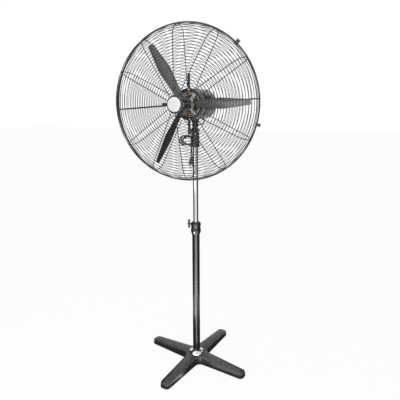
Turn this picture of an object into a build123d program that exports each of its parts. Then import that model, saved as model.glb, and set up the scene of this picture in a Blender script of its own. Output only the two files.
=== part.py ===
from build123d import *
import math
import os

os.makedirs("parts", exist_ok=True)

# Pedestal fan: the floor is z = 0, the pole stands on the Z axis and the fan blows towards -Y

# Clearances
FIT = 0.05
RUN = 0.05
SLIP = 0.3
BOLT_PLAY = 0.5
PLUG_PLAY = 0.6
OVERCUT = 1.0
HEAD_SINK = 1.0

FASTENER_SIDES = 12
HEX_SIDES = 6

# Cross base
LEGS = 4
LEG_TURN = -12.0
LEG_REACH = 336.0
LEG_ROOT = 86.0
LEG_TIP = 62.0
LEG_DRAFT = 7.0
TIP_ROUND = 24.0
NOTCH_ROUND = 36.0
BASE_TOP = 60.0
TIP_TOP = 41.0
SLOPE_RUNOUT = 10.0
SLOPE_CUT = 20.0
HUB_FLAT = 58.0
BASE_WALL = 5.0
FLOOR_GAP = 14.0
WEB = 4.0
BOSS_R = 32.0
BOSS_BOTTOM = 14.0
PANEL_INSET = 9.0
PANEL_STEP = 3.0
RIDGE_WIDTH = 5.0
RIDGE_HEIGHT = 1.5
RIDGES = 2
RIDGE_START = 24.0
RIDGE_MARGIN = 30.0
FOOT_R = 17.0
FOOT_HEIGHT = 18.0
FOOT_POST_R = 11.0
FOOT_SETBACK = 30.0

# Pole
LOWER_OD = 44.0
LOWER_WALL = 2.0
LOWER_SEAT = 24.0
LOWER_TOP = 878.0
UPPER_OD = 30.0
UPPER_WALL = 1.5
UPPER_BOTTOM = 480.0
UPPER_TOP = 1384.0
GUIDE_LENGTH = 40.0
FLANGE_R = 46.0
FLANGE_HEIGHT = 14.0
FLANGE_EDGE = 3.0
FLANGE_STEP = 8.0
FLANGE_NECK = 8.0
FLANGE_LIP = 5.0
POLE_BOLT_R = 6.0
POLE_HEX = 9.3
POLE_HEAD_HEIGHT = 7.0
WASHER_R = 13.2
WASHER_THICK = 2.0
PLUG_LENGTH = 24.0

# Height collar and clamp
COLLAR_BOTTOM = 832.0
COLLAR_TOP = 908.0
COLLAR_R = 30.0
COLLAR_WAIST_R = 27.0
COLLAR_CROWN_R = 29.5
COLLAR_BULGE_RISE = 24.32
COLLAR_WAIST_RISE = 39.52
COLLAR_CROWN_RISE = 60.8
COLLAR_LIP = 1.5
COLLAR_MOUTH = 2.0
BUSH_R = 18.0
CLAMP_Z = 891.0
CLAMP_BOLT_R = 4.0
CLAMP_REACH = 50.0
WING_SPAN = 54.0
WING_WIDTH = 16.0
WING_THICK = 8.0
WING_HUB_WALL = 3.5
WING_SHOULDER = 2.0
COLLAR_SCREW_Z = 850.0
COLLAR_SCREW_R = 2.5
COLLAR_HEAD_R = 5.0
COLLAR_HEAD_HEIGHT = 3.0
COLLAR_SPOTFACE = 2.0

# Socket, tilt knuckle and neck
SOCKET_BOTTOM = 1337.0
SOCKET_TOP = 1400.0
SOCKET_R = 22.5
SOCKET_BEAD = 1.2
SOCKET_BEAD_HEIGHT = 4.0
SOCKET_FLARE = 12.0
SOCKET_EDGE = 3.0
SOCKET_SCREW_Z = 1372.0
SOCKET_SCREW_R = 3.0
SOCKET_HEAD_R = 6.0
SOCKET_HEAD_HEIGHT = 4.0
TILT_Z = 1425.0
LUG_R = 15.0
LUG_OUT = 17.0
LUG_ROOT = 6.0
LUG_FLOOR = 6.0
TONGUE = 18.0
TONGUE_INSET = 2.0
TONGUE_ROOT = 4.0
TILT_BOLT_R = 5.0
TILT_BOLT_TAIL = 10.0
TILT_BOLT_SINK = 2.0
TILT_HEX = 8.0
TILT_HEAD_HEIGHT = 6.0
TILT_NUT_HEIGHT = 8.0
NECK_R = 17.0
NECK_BOTTOM = 1445.0
NECK_TOP = 1470.0
PIVOT_R = 8.0
PIVOT_FLOOR = 3.0
PIVOT_BOSS_WALL = 4.0

# Head
HUB_Z = 1566.0
HEAD_REACH = 145.0
MOTOR_R = 82.0
MOTOR_WALL = 4.0
COVER_WALL = 10.0
SHIELD_DEPTH = 22.0
SHIELD_EDGE = 3.0
SHIELD_FLAT = 11.0
SHIELD_WALL = 6.0
SHIELD_BOSS = 18.0
BOSS_WALL = 7.0
BOSS_ROOT_WALL = 9.0
BOSS_ROOT = 9.0
BOSS_BACK = 4.0
WINDOWS = 6
WINDOW_TURN = 30.0
WINDOW_INNER = 13.0
WINDOW_OUTER = 14.0
WINDOW_NARROW = 20.0
WINDOW_WIDE = 42.0
BARREL_LENGTH = 165.0
BARREL_FLANGE = 8.0
BARREL_FLANGE_INSET = 7.0
COVER_LENGTH = 45.0
COVER_SKIRT = 10.0
COVER_SHOULDER = 28.0
COVER_ROUND = 14.0
CAP_R = 52.0
KNOB_OFFSET = 30.0
KNOB_STEM_R = 4.0
KNOB_STEM_SHORT = 1.0
KNOB_R = 15.0
KNOB_DEPTH = 10.0
KNOB_DRAFT = 6.0
GRIP_WIDTH = 5.0
GRIP_LENGTH = 24.0
GRIP_HEIGHT = 7.0
SWING_KNOB_R = 9.0
SWING_KNOB_DEPTH = 12.0
SWING_TRAVEL = 6.0
SHAFT_R = 7.5
SHAFT_STUB = 12.0
BEARING_R = 17.5
BEARING_WIDTH = 11.0
BEARING_SET = 14.0
AIR_GAP = 0.5
ROTOR_R = 45.0
STACK_LENGTH = 50.0
STACK_SETBACK = 16.0
SLOTS = 12
SLOT_SET = 12.0
SLOT_DEPTH = 16.0
SLOT_WIDTH = 8.0
WINDING_IN = 49.0
WINDING_OUT = 65.0
WINDING_REACH = 20.0
LEAD_R = 2.5
LEAD_Y = 44.0
LEAD_LEFT = -20.0
LEAD_RIGHT = 34.0
LEAD_BOTTOM = 1458.0
LEAD_START = 2.0
LEAD_BEND = 0.45
GROMMET_WALL = 2.0
GROMMET_LENGTH = 5.0

# Guard
RIBS = 12
RIB_TURN = -4.0
RIM_R = 390.0
RIM_WIRE = 6.0
RIB_WIRE = 4.0
RIB_LEAN = 6.0
RING_WIRE = 3.0
RING_PITCH = 14.0
RING_SIDES = 24
FRONT_DEPTH = 70.0
FRONT_CROWN = 48.0
FRONT_BEND = 76.0
BACK_DEPTH = 55.0
BACK_BEND = 36.0
BACK_INNER = 92.0
FRONT_INNER = 26.0
STRAPS = 4
STRAP_WIDTH = 15.0
STRAP_REACH = 155.0
STRAP_THICK = 2.5
STRAP_BOLT_INSET = 9.0
STRAP_BOLT_R = 3.0
STRAP_HEX = 5.4
STRAP_HEAD_HEIGHT = 4.0
BRACKET_INSET = 9.0
BADGE_R = 35.0
BADGE_THICK = 6.0
BADGE_GAP = 0.5
BADGE_STEM_INSET = 8.0
BADGE_STEM_SINK = 4.0
PLATE_R = 44.0
PLATE_THICK = 2.0
CLIP_ANGLES = (44.0, 104.0)
CLIP_SCREW_R = 2.0
CLIP_SCREW_TAIL = 3.0
CLIP_SCREW_SET = 9.0
CLIP_HEAD_R = 4.4
CLIP_HEAD_HEIGHT = 3.0
CLIP_REACH = 15.0
CLIP_WIDTH = 14.0
CLIP_WALL = 2.0

# Blades
BLADES = 3
BLADE_TURN = -32.0
BLADE_TIP = 345.0
BLADE_ROOT = 56.0
BLADE_ROOT_CHORD = 38.0
BLADE_CHORD = 64.0
BLADE_TIP_CHORD = 30.0
BLADE_WIDEST = 200.0
BLADE_PITCH = 33.0
BLADE_THICK = 2.5
BLADE_CAMBER = 170.0
BLADE_ROUND = 9.0
BLADE_ROOM = 12.0
ARM_WIDTH = 24.0
ARM_THICK = 4.0
ARM_REACH = 104.0
ARM_ROOT = 12.0
HUB_R = 34.0
HUB_LENGTH = 34.0
HUB_CHAMFER = 4.0
HUB_NUT_HEX = 11.0
HUB_NUT_HEIGHT = 10.0
RIVETS = 3
RIVET_R = 3.0
RIVET_PITCH = 14.0
RIVET_INSET = 10.5
RIVET_BRIM = 2.0
RIVET_HEAD = 2.0
RIVET_SIDES = 8

# Mains cord
CORD_R = 3.25
CORD_GAP = 1.0
LOOPS = 4
LOOP_START = 4.0
LOOP_BEND = 23.0
LOOP_RUN = 22.0
LOOP_PITCH = 12.8
LOOP_Z = 1369.0
ENTRY_BEND = 14.5
TAIL_DROP = 88.0
GLAND_R = 6.0
GLAND_LENGTH = 12.0
GLAND_SINK = 2.0
TIE_WIDTH = 10.0
TIE_WALL = 1.5
TIE_ROUND = 4.5
TIE_INNER_ROUND = 3.2
CORD_SIDES = 6
PLUG_WIDTH = 24.0
PLUG_DEPTH = 16.0
PLUG_HEIGHT = 42.0
PLUG_BODY_HEIGHT = 30.24
PLUG_DRAFT = 9.0
STRAIN_WALL = 2.0
PIN_R = 2.4
PIN_PITCH = 12.0
PIN_LENGTH = 19.0
PIN_SEAT = 11.0
PIN_BORE = 12.0
CORD_STATION = 3.0
CORD_NEIGHBOUR = 40.0

# Values that follow from the sizes above
FOOT_RADIUS = LEG_REACH - FOOT_SETBACK
RIDGE_LENGTH = LEG_REACH - RIDGE_MARGIN - RIDGE_START - HUB_FLAT
LOWER_R = LOWER_OD / 2
UPPER_R = UPPER_OD / 2
LOWER_BORE = LOWER_R - LOWER_WALL
RIB_OUT_R = RIM_R - RIM_WIRE - FIT
RIB_R = RIB_OUT_R - RIB_WIRE / 2
STRAP_FRONT = HEAD_REACH - BACK_DEPTH - RIB_WIRE / 2 - FIT - RING_WIRE - FIT
SHIELD_FACE = STRAP_FRONT - STRAP_THICK
BARREL_FRONT = SHIELD_FACE - SHIELD_DEPTH
BARREL_BACK = BARREL_FRONT - BARREL_LENGTH
COVER_BACK = BARREL_BACK - COVER_LENGTH
STACK_FRONT = BARREL_FRONT - STACK_SETBACK
STACK_BACK = STACK_FRONT - STACK_LENGTH
BORE_R = MOTOR_R - MOTOR_WALL
STRAP_BOLT_CIRCLE = MOTOR_R - STRAP_BOLT_INSET
FLANGE_BORE = STRAP_BOLT_CIRCLE - BARREL_FLANGE_INSET
FRONT_CENTRE = HEAD_REACH + FRONT_DEPTH + FRONT_CROWN

HEAD = Plane(origin=(0, 0, HUB_Z), x_dir=(1, 0, 0), z_dir=(0, -1, 0))
PROFILE = Plane(origin=(0, 0, HUB_Z), x_dir=(0, 0, 1), z_dir=(1, 0, 0))
HEAD_AXIS = Axis((0, 0, HUB_Z), (0, -1, 0))


def spoke(angle):
    """Plane through the fan axis: x runs outward at this clock angle, y runs forward."""
    turn = math.radians(angle)
    outward = (math.sin(turn), 0, math.cos(turn))
    across = (math.cos(turn), 0, -math.sin(turn))
    return Plane(origin=(0, 0, HUB_Z), x_dir=outward, z_dir=across)


def keep(piece, name):
    """Label a finished piece and write its file."""
    piece.part.label = name
    export_step(piece.part, "parts/" + name + ".step")


# Cast cross base, hollow from below, with a boss for the pole and posts for the feet
def leg_cross(plane, inset):
    with BuildSketch(plane) as cross:
        with PolarLocations(0, LEGS, start_angle=LEG_TURN):
            root = LEG_ROOT / 2 - inset
            tip = LEG_TIP / 2 - inset
            reach = LEG_REACH - inset
            Polygon((0, -root), (reach, -tip), (reach, tip), (0, root), align=None)
        ends = [v for v in cross.vertices() if math.hypot(v.X, v.Y) > LEG_REACH / 2]
        fillet(ends, TIP_ROUND - inset)
        notches = [v for v in cross.vertices() if math.hypot(v.X, v.Y) < LEG_ROOT]
        fillet(notches, NOTCH_ROUND + inset)
    return cross.sketch


def above_slope(drop):
    far = LEG_REACH + SLOPE_RUNOUT
    for k in range(LEGS):
        turn = math.radians(LEG_TURN + 360 / LEGS * k)
        along = (math.cos(turn), math.sin(turn), 0)
        side = (math.sin(turn), -math.cos(turn), 0)
        with BuildSketch(Plane(origin=(0, 0, 0), x_dir=along, z_dir=side)) as wedge:
            with BuildLine():
                Polyline(
                    (HUB_FLAT, BASE_TOP - drop),
                    (far, TIP_TOP - drop),
                    (far, BASE_TOP + SLOPE_CUT),
                    (-HUB_FLAT, BASE_TOP + SLOPE_CUT),
                    (-HUB_FLAT, BASE_TOP - drop),
                    close=True,
                )
            make_face()
        yield wedge.sketch


with BuildPart() as cavity:
    extrude(leg_cross(Plane.XY.offset(FLOOR_GAP), BASE_WALL), amount=BASE_TOP, taper=LEG_DRAFT)
    for wedge in above_slope(PANEL_STEP + BASE_WALL):
        extrude(wedge, amount=LEG_ROOT, both=True, mode=Mode.SUBTRACT)
    with BuildSketch(Plane.XY.offset(BOSS_BOTTOM)):
        Circle(BOSS_R)
        with PolarLocations((HUB_FLAT + FOOT_RADIUS) / 2, LEGS, start_angle=LEG_TURN):
            Rectangle(WEB, LEG_ROOT)
    extrude(amount=BASE_TOP, mode=Mode.SUBTRACT)
    with BuildSketch(Plane.XY.offset(FOOT_HEIGHT)):
        with PolarLocations(FOOT_RADIUS, LEGS, start_angle=LEG_TURN):
            Circle(FOOT_POST_R)
    extrude(amount=BASE_TOP, mode=Mode.SUBTRACT)

with BuildPart() as panel:
    extrude(leg_cross(Plane.XY.offset(FLOOR_GAP), PANEL_INSET), amount=BASE_TOP, taper=LEG_DRAFT)
    for wedge in above_slope(0):
        extrude(wedge, amount=LEG_ROOT, both=True, mode=Mode.SUBTRACT)

with BuildPart() as base_casting:
    extrude(leg_cross(Plane.XY.offset(FLOOR_GAP), 0), amount=BASE_TOP, taper=LEG_DRAFT)
    for wedge in above_slope(PANEL_STEP):
        extrude(wedge, amount=LEG_ROOT, both=True, mode=Mode.SUBTRACT)
    add(panel.part)
    add(cavity.part, mode=Mode.SUBTRACT)
    fall = math.atan2(BASE_TOP - TIP_TOP, LEG_REACH + SLOPE_RUNOUT - HUB_FLAT)
    for k in range(LEGS):
        turn = math.radians(LEG_TURN + 360 / LEGS * k)
        along = (math.cos(turn) * math.cos(fall), math.sin(turn) * math.cos(fall), -math.sin(fall))
        up = (math.cos(turn) * math.sin(fall), math.sin(turn) * math.sin(fall), math.cos(fall))
        top = Plane(origin=(0, 0, BASE_TOP + HUB_FLAT * math.tan(fall)), x_dir=along, z_dir=up)
        with BuildSketch(top.offset(-RIDGE_HEIGHT)):
            with Locations((HUB_FLAT + RIDGE_START + RIDGE_LENGTH / 2, 0)):
                with GridLocations(0, LEG_TIP / 4, 1, RIDGES):
                    Rectangle(RIDGE_LENGTH, RIDGE_WIDTH)
        extrude(amount=2 * RIDGE_HEIGHT)
    with BuildSketch(Plane.XY.offset(LOWER_SEAT)):
        Circle(LOWER_R + FIT)
    extrude(amount=BASE_TOP, mode=Mode.SUBTRACT)
    with BuildSketch(Plane.XY):
        Circle(POLE_BOLT_R + BOLT_PLAY)
    extrude(amount=BASE_TOP, mode=Mode.SUBTRACT)
keep(base_casting, "base_casting")

# Rubber feet under the leg tips
with BuildPart() as base_feet:
    with BuildSketch(Plane.XY):
        with PolarLocations(FOOT_RADIUS, LEGS, start_angle=LEG_TURN):
            Circle(FOOT_R)
    extrude(amount=FOOT_HEIGHT - FIT)
keep(base_feet, "base_feet")

# Chromed flange round the foot of the pole
with BuildPart() as base_flange:
    with BuildSketch(Plane.XZ):
        with BuildLine():
            bore = LOWER_R + FIT
            Polyline(
                (bore, BASE_TOP),
                (FLANGE_R, BASE_TOP),
                (FLANGE_R, BASE_TOP + FLANGE_EDGE),
                (LOWER_R + FLANGE_NECK, BASE_TOP + FLANGE_STEP),
                (LOWER_R + FLANGE_LIP, BASE_TOP + FLANGE_HEIGHT),
                (bore, BASE_TOP + FLANGE_HEIGHT),
                close=True,
            )
        make_face()
    revolve(axis=Axis.Z)
keep(base_flange, "base_flange")

# Lower pole tube with its end plug, bolted down through the base
with BuildPart() as lower_tube:
    with BuildSketch(Plane.XY.offset(LOWER_SEAT)):
        Circle(LOWER_R)
        Circle(LOWER_BORE, mode=Mode.SUBTRACT)
    extrude(amount=LOWER_TOP - LOWER_SEAT)
keep(lower_tube, "lower_tube")

with BuildPart() as pole_plug:
    with BuildSketch(Plane.XY.offset(LOWER_SEAT)):
        RegularPolygon(LOWER_BORE - FIT, 2 * FASTENER_SIDES)
        RegularPolygon(POLE_BOLT_R + PLUG_PLAY, FASTENER_SIDES, mode=Mode.SUBTRACT)
    extrude(amount=PLUG_LENGTH)
keep(pole_plug, "pole_plug")

with BuildPart() as pole_washer:
    with BuildSketch(Plane.XY.offset(BOSS_BOTTOM - WASHER_THICK - FIT)):
        RegularPolygon(WASHER_R, FASTENER_SIDES)
        RegularPolygon(POLE_BOLT_R + PLUG_PLAY, FASTENER_SIDES, mode=Mode.SUBTRACT)
    extrude(amount=WASHER_THICK)
keep(pole_washer, "pole_washer")

with BuildPart() as pole_bolt:
    with BuildSketch(Plane.XY.offset(BOSS_BOTTOM - WASHER_THICK - POLE_HEAD_HEIGHT - 2 * FIT)):
        RegularPolygon(POLE_HEX, HEX_SIDES, major_radius=False)
    extrude(amount=POLE_HEAD_HEIGHT)
    with BuildSketch(Plane.XY.offset(BOSS_BOTTOM - 2 * WASHER_THICK)):
        Circle(POLE_BOLT_R)
    extrude(amount=LOWER_SEAT + PLUG_LENGTH - BOSS_BOTTOM + WASHER_THICK)
keep(pole_bolt, "pole_bolt")

# Height collar: a moulded sleeve on the lower tube with a bush that the upper tube slides in
with BuildPart() as height_collar:
    with BuildSketch(Plane.XZ):
        with BuildLine():
            low = (LOWER_R + COLLAR_LIP, COLLAR_BOTTOM)
            bulge = (COLLAR_R, COLLAR_BOTTOM + COLLAR_BULGE_RISE)
            waist = (COLLAR_WAIST_R, COLLAR_BOTTOM + COLLAR_WAIST_RISE)
            crown = (COLLAR_CROWN_R, COLLAR_BOTTOM + COLLAR_CROWN_RISE)
            lip = (BUSH_R + COLLAR_MOUTH, COLLAR_TOP)
            Polyline(
                low,
                bulge,
                waist,
                crown,
                lip,
                (BUSH_R + FIT, COLLAR_TOP),
                (BUSH_R + FIT, LOWER_TOP + FIT),
                (LOWER_R + FIT, LOWER_TOP + FIT),
                (LOWER_R + FIT, COLLAR_BOTTOM),
                close=True,
            )
        make_face()
    revolve(axis=Axis.Z)
    with BuildSketch(Plane.YZ):
        with Locations((0, CLAMP_Z)):
            RegularPolygon(CLAMP_BOLT_R + RUN, FASTENER_SIDES, major_radius=False)
    extrude(amount=-2 * COLLAR_R, mode=Mode.SUBTRACT)
    with BuildSketch(Plane.XZ.offset(COLLAR_R - COLLAR_SPOTFACE)):
        with Locations((0, COLLAR_SCREW_Z)):
            RegularPolygon(COLLAR_HEAD_R + 2 * SLIP, FASTENER_SIDES)
    extrude(amount=COLLAR_R, mode=Mode.SUBTRACT)
    with BuildSketch(Plane.XZ):
        with Locations((0, COLLAR_SCREW_Z)):
            RegularPolygon(COLLAR_SCREW_R + FIT, FASTENER_SIDES)
    extrude(amount=COLLAR_R, mode=Mode.SUBTRACT)
keep(height_collar, "height_collar")

with BuildPart() as collar_bush:
    with BuildSketch(Plane.XY.offset(LOWER_TOP + 2 * FIT)):
        Circle(BUSH_R)
        Circle(UPPER_R + RUN, mode=Mode.SUBTRACT)
    extrude(amount=COLLAR_TOP - LOWER_TOP - 2 * FIT)
    with BuildSketch(Plane.YZ):
        with Locations((0, CLAMP_Z)):
            RegularPolygon(CLAMP_BOLT_R + SLIP, FASTENER_SIDES, major_radius=False)
    extrude(amount=-2 * BUSH_R, mode=Mode.SUBTRACT)
keep(collar_bush, "collar_bush")

with BuildPart() as collar_screw:
    with BuildSketch(Plane.XZ.offset(LOWER_R + FIT)):
        with Locations((0, COLLAR_SCREW_Z)):
            RegularPolygon(COLLAR_SCREW_R, FASTENER_SIDES)
    extrude(amount=COLLAR_R - LOWER_R)
    with BuildSketch(Plane.XZ.offset(COLLAR_R - COLLAR_SPOTFACE + FIT)):
        with Locations((0, COLLAR_SCREW_Z)):
            RegularPolygon(COLLAR_HEAD_R, FASTENER_SIDES)
    extrude(amount=COLLAR_HEAD_HEIGHT)
keep(collar_screw, "collar_screw")

# Wing screw that clamps the upper tube at the chosen height
with BuildPart() as clamp_bolt:
    with BuildSketch(Plane.YZ.offset(-UPPER_R - SLIP)):
        with Locations((0, CLAMP_Z)):
            Circle(CLAMP_BOLT_R)
    extrude(amount=-(CLAMP_REACH - UPPER_R - SLIP))
keep(clamp_bolt, "clamp_bolt")

with BuildPart() as clamp_handle:
    with BuildSketch(Plane.YZ.offset(-CLAMP_REACH)):
        with Locations((0, CLAMP_Z)):
            Circle(CLAMP_BOLT_R + WING_HUB_WALL)
    extrude(amount=WING_WIDTH)
    with BuildSketch(Plane.XZ.offset(-WING_THICK / 2)):
        for side in (-1, 1):
            lobe = WING_SPAN / 2 - CLAMP_BOLT_R
            with Locations((-CLAMP_REACH + WING_WIDTH / 2, CLAMP_Z + side * (WING_SPAN - lobe) / 2)):
                RectangleRounded(WING_WIDTH - WING_SHOULDER, lobe, WING_WIDTH / 3)
    extrude(amount=WING_THICK)
    with BuildSketch(Plane.YZ.offset(-CLAMP_REACH - OVERCUT)):
        with Locations((0, CLAMP_Z)):
            Circle(CLAMP_BOLT_R + FIT)
    extrude(amount=WING_WIDTH + 2 * OVERCUT, mode=Mode.SUBTRACT)
keep(clamp_handle, "clamp_handle")

# Chromed upper tube with the guide ring at its lower end
with BuildPart() as upper_tube:
    with BuildSketch(Plane.XY.offset(UPPER_BOTTOM)):
        Circle(UPPER_R)
        Circle(UPPER_R - UPPER_WALL, mode=Mode.SUBTRACT)
    extrude(amount=UPPER_TOP - UPPER_BOTTOM)
keep(upper_tube, "upper_tube")

with BuildPart() as tube_guide:
    with BuildSketch(Plane.XY.offset(UPPER_BOTTOM)):
        Circle(LOWER_BORE - RUN)
        Circle(UPPER_R + FIT, mode=Mode.SUBTRACT)
    extrude(amount=GUIDE_LENGTH)
keep(tube_guide, "tube_guide")

# Socket on the pole top: a blind bore below, two lugs for the tilt bolt above
with BuildPart() as pole_socket:
    with BuildSketch(Plane.XZ):
        with BuildLine():
            Polyline(
                (UPPER_R + FIT, SOCKET_BOTTOM),
                (SOCKET_R + SOCKET_BEAD, SOCKET_BOTTOM),
                (SOCKET_R + SOCKET_BEAD, SOCKET_BOTTOM + SOCKET_BEAD_HEIGHT),
                (SOCKET_R, SOCKET_BOTTOM + SOCKET_FLARE),
                (SOCKET_R, SOCKET_TOP - SOCKET_EDGE),
                (SOCKET_R - SOCKET_EDGE, SOCKET_TOP),
                (0, SOCKET_TOP),
                (0, UPPER_TOP + FIT),
                (UPPER_R + FIT, UPPER_TOP + FIT),
                close=True,
            )
        make_face()
    revolve(axis=Axis.Z)
    with BuildSketch(Plane.YZ.offset(-LUG_OUT)):
        with BuildLine():
            Line((-LUG_R, SOCKET_TOP - LUG_ROOT), (-LUG_R, TILT_Z))
            RadiusArc((-LUG_R, TILT_Z), (LUG_R, TILT_Z), LUG_R)
            Line((LUG_R, TILT_Z), (LUG_R, SOCKET_TOP - LUG_ROOT))
            Line((LUG_R, SOCKET_TOP - LUG_ROOT), (-LUG_R, SOCKET_TOP - LUG_ROOT))
        make_face()
    extrude(amount=2 * LUG_OUT)
    with BuildSketch(Plane.XY.offset(SOCKET_TOP + LUG_FLOOR)):
        Rectangle(TONGUE + 2 * SLIP, 3 * LUG_R)
    extrude(amount=2 * LUG_R + TILT_Z - SOCKET_TOP, mode=Mode.SUBTRACT)
    with BuildSketch(Plane.YZ.offset(-SOCKET_R)):
        with Locations((0, TILT_Z)):
            Circle(TILT_BOLT_R + FIT)
    extrude(amount=2 * SOCKET_R, mode=Mode.SUBTRACT)
    with BuildSketch(Plane.XZ.offset(-SOCKET_R + GLAND_SINK)):
        with Locations((0, LOOP_Z - LOOP_BEND)):
            Circle(GLAND_R + FIT)
    extrude(amount=-SOCKET_R, mode=Mode.SUBTRACT)
    with BuildSketch(Plane.XZ):
        with Locations((0, SOCKET_SCREW_Z)):
            RegularPolygon(SOCKET_SCREW_R + FIT, FASTENER_SIDES)
    extrude(amount=-2 * SOCKET_R, mode=Mode.SUBTRACT)
keep(pole_socket, "pole_socket")

with BuildPart() as socket_screw:
    with BuildSketch(Plane.XZ.offset(-UPPER_R - FIT)):
        with Locations((0, SOCKET_SCREW_Z)):
            RegularPolygon(SOCKET_SCREW_R, FASTENER_SIDES)
    extrude(amount=-(SOCKET_R - UPPER_R))
    with BuildSketch(Plane.XZ.offset(-SOCKET_R - FIT)):
        with Locations((0, SOCKET_SCREW_Z)):
            RegularPolygon(SOCKET_HEAD_R, FASTENER_SIDES)
    extrude(amount=-SOCKET_HEAD_HEIGHT)
keep(socket_screw, "socket_screw")

# Tilt bolt and nut through the lugs
with BuildPart() as tilt_bolt:
    with BuildSketch(Plane.YZ.offset(-LUG_OUT - TILT_BOLT_TAIL)):
        with Locations((0, TILT_Z)):
            Circle(TILT_BOLT_R)
    extrude(amount=2 * LUG_OUT + TILT_BOLT_TAIL + TILT_BOLT_SINK)
    with BuildSketch(Plane.YZ.offset(LUG_OUT + FIT)):
        with Locations((0, TILT_Z)):
            RegularPolygon(TILT_HEX, HEX_SIDES, major_radius=False)
    extrude(amount=TILT_HEAD_HEIGHT)
keep(tilt_bolt, "tilt_bolt")

with BuildPart() as tilt_nut:
    with BuildSketch(Plane.YZ.offset(-LUG_OUT - FIT)):
        with Locations((0, TILT_Z)):
            RegularPolygon(TILT_HEX, HEX_SIDES, major_radius=False)
            Circle(TILT_BOLT_R + FIT, mode=Mode.SUBTRACT)
    extrude(amount=-TILT_NUT_HEIGHT)
keep(tilt_nut, "tilt_nut")

# Neck: a tongue between the lugs and a barrel that the head swings on
with BuildPart() as neck_casting:
    with BuildSketch(Plane.YZ.offset(-TONGUE / 2)):
        with BuildLine():
            half = LUG_R - TONGUE_INSET
            root = NECK_BOTTOM + TONGUE_ROOT
            RadiusArc((half, TILT_Z), (-half, TILT_Z), half)
            Polyline((-half, TILT_Z), (-half, root), (half, root), (half, TILT_Z))
        make_face()
    extrude(amount=TONGUE)
    with BuildSketch(Plane.XY.offset(NECK_BOTTOM)):
        Circle(NECK_R)
    extrude(amount=NECK_TOP - NECK_BOTTOM)
    with BuildSketch(Plane.XY.offset(NECK_BOTTOM + PIVOT_FLOOR)):
        Circle(PIVOT_R + RUN)
    extrude(amount=NECK_TOP - NECK_BOTTOM, mode=Mode.SUBTRACT)
    with BuildSketch(Plane.YZ.offset(-SOCKET_R)):
        with Locations((0, TILT_Z)):
            Circle(TILT_BOLT_R + RUN)
    extrude(amount=2 * SOCKET_R, mode=Mode.SUBTRACT)
keep(neck_casting, "neck_casting")

# Motor barrel with the boss that takes the pivot pin
with BuildPart() as motor_housing:
    with BuildSketch(PROFILE):
        with BuildLine():
            Polyline(
                (MOTOR_R, BARREL_FRONT),
                (MOTOR_R, BARREL_BACK),
                (BORE_R, BARREL_BACK),
                (BORE_R, BARREL_FRONT - BARREL_FLANGE),
                (FLANGE_BORE, BARREL_FRONT - BARREL_FLANGE),
                (FLANGE_BORE, BARREL_FRONT),
                close=True,
            )
        make_face()
    revolve(axis=HEAD_AXIS)
    with BuildSketch(Plane.XY.offset(NECK_TOP + SLIP)):
        Circle(NECK_R + PIVOT_BOSS_WALL)
    extrude(amount=HUB_Z - BORE_R - NECK_TOP)
    with BuildSketch(HEAD.offset(BARREL_BACK)):
        Circle(BORE_R)
    extrude(amount=BARREL_LENGTH - BARREL_FLANGE, mode=Mode.SUBTRACT)
    with BuildSketch(Plane.XY.offset(NECK_TOP)):
        Circle(PIVOT_R + FIT)
    extrude(amount=HUB_Z - BORE_R - NECK_TOP + OVERCUT, mode=Mode.SUBTRACT)
    with BuildSketch(HEAD.offset(BARREL_FRONT - BARREL_FLANGE - OVERCUT)):
        with PolarLocations(STRAP_BOLT_CIRCLE, STRAPS):
            RegularPolygon(STRAP_BOLT_R + FIT, FASTENER_SIDES)
    extrude(amount=BARREL_FLANGE + 2 * OVERCUT, mode=Mode.SUBTRACT)
keep(motor_housing, "motor_housing")

with BuildPart() as pivot_pin:
    with BuildSketch(Plane.XY.offset(NECK_BOTTOM + PIVOT_FLOOR + SLIP)):
        Circle(PIVOT_R)
    extrude(amount=HUB_Z - BORE_R - FIT - NECK_BOTTOM - PIVOT_FLOOR - SLIP)
keep(pivot_pin, "pivot_pin")

# Cast front shield: a windowed face with the front bearing seat
with BuildPart() as front_shield:
    with BuildSketch(PROFILE):
        with BuildLine():
            boss = SHIELD_FACE + SHIELD_BOSS
            Polyline(
                (FLANGE_BORE, BARREL_FRONT + FIT),
                (MOTOR_R, BARREL_FRONT + FIT),
                (MOTOR_R, SHIELD_FACE - SHIELD_EDGE),
                (MOTOR_R - SHIELD_EDGE, SHIELD_FACE),
                (STRAP_BOLT_CIRCLE - SHIELD_FLAT, SHIELD_FACE),
                (BEARING_R + BOSS_ROOT_WALL, SHIELD_FACE + BOSS_ROOT),
                (BEARING_R + BOSS_WALL, boss),
                (BEARING_R + FIT, boss),
                (BEARING_R + FIT, SHIELD_FACE + BOSS_BACK),
                (FLANGE_BORE, SHIELD_FACE - SHIELD_WALL),
                close=True,
            )
        make_face()
    revolve(axis=HEAD_AXIS)
    with BuildSketch(HEAD.offset(BARREL_FRONT)):
        with PolarLocations(0, WINDOWS, start_angle=WINDOW_TURN):
            near = BEARING_R + WINDOW_INNER
            far = STRAP_BOLT_CIRCLE - WINDOW_OUTER
            narrow = WINDOW_NARROW / 2
            wide = WINDOW_WIDE / 2
            Polygon((near, -narrow), (far, -wide), (far, wide), (near, narrow), align=None)
    extrude(amount=SHIELD_DEPTH + SHIELD_BOSS, mode=Mode.SUBTRACT)
    with BuildSketch(HEAD.offset(BARREL_FRONT - OVERCUT)):
        with PolarLocations(STRAP_BOLT_CIRCLE, STRAPS):
            RegularPolygon(STRAP_BOLT_R + FIT, FASTENER_SIDES)
    extrude(amount=SHIELD_DEPTH + 2 * OVERCUT, mode=Mode.SUBTRACT)
keep(front_shield, "front_shield")

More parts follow.
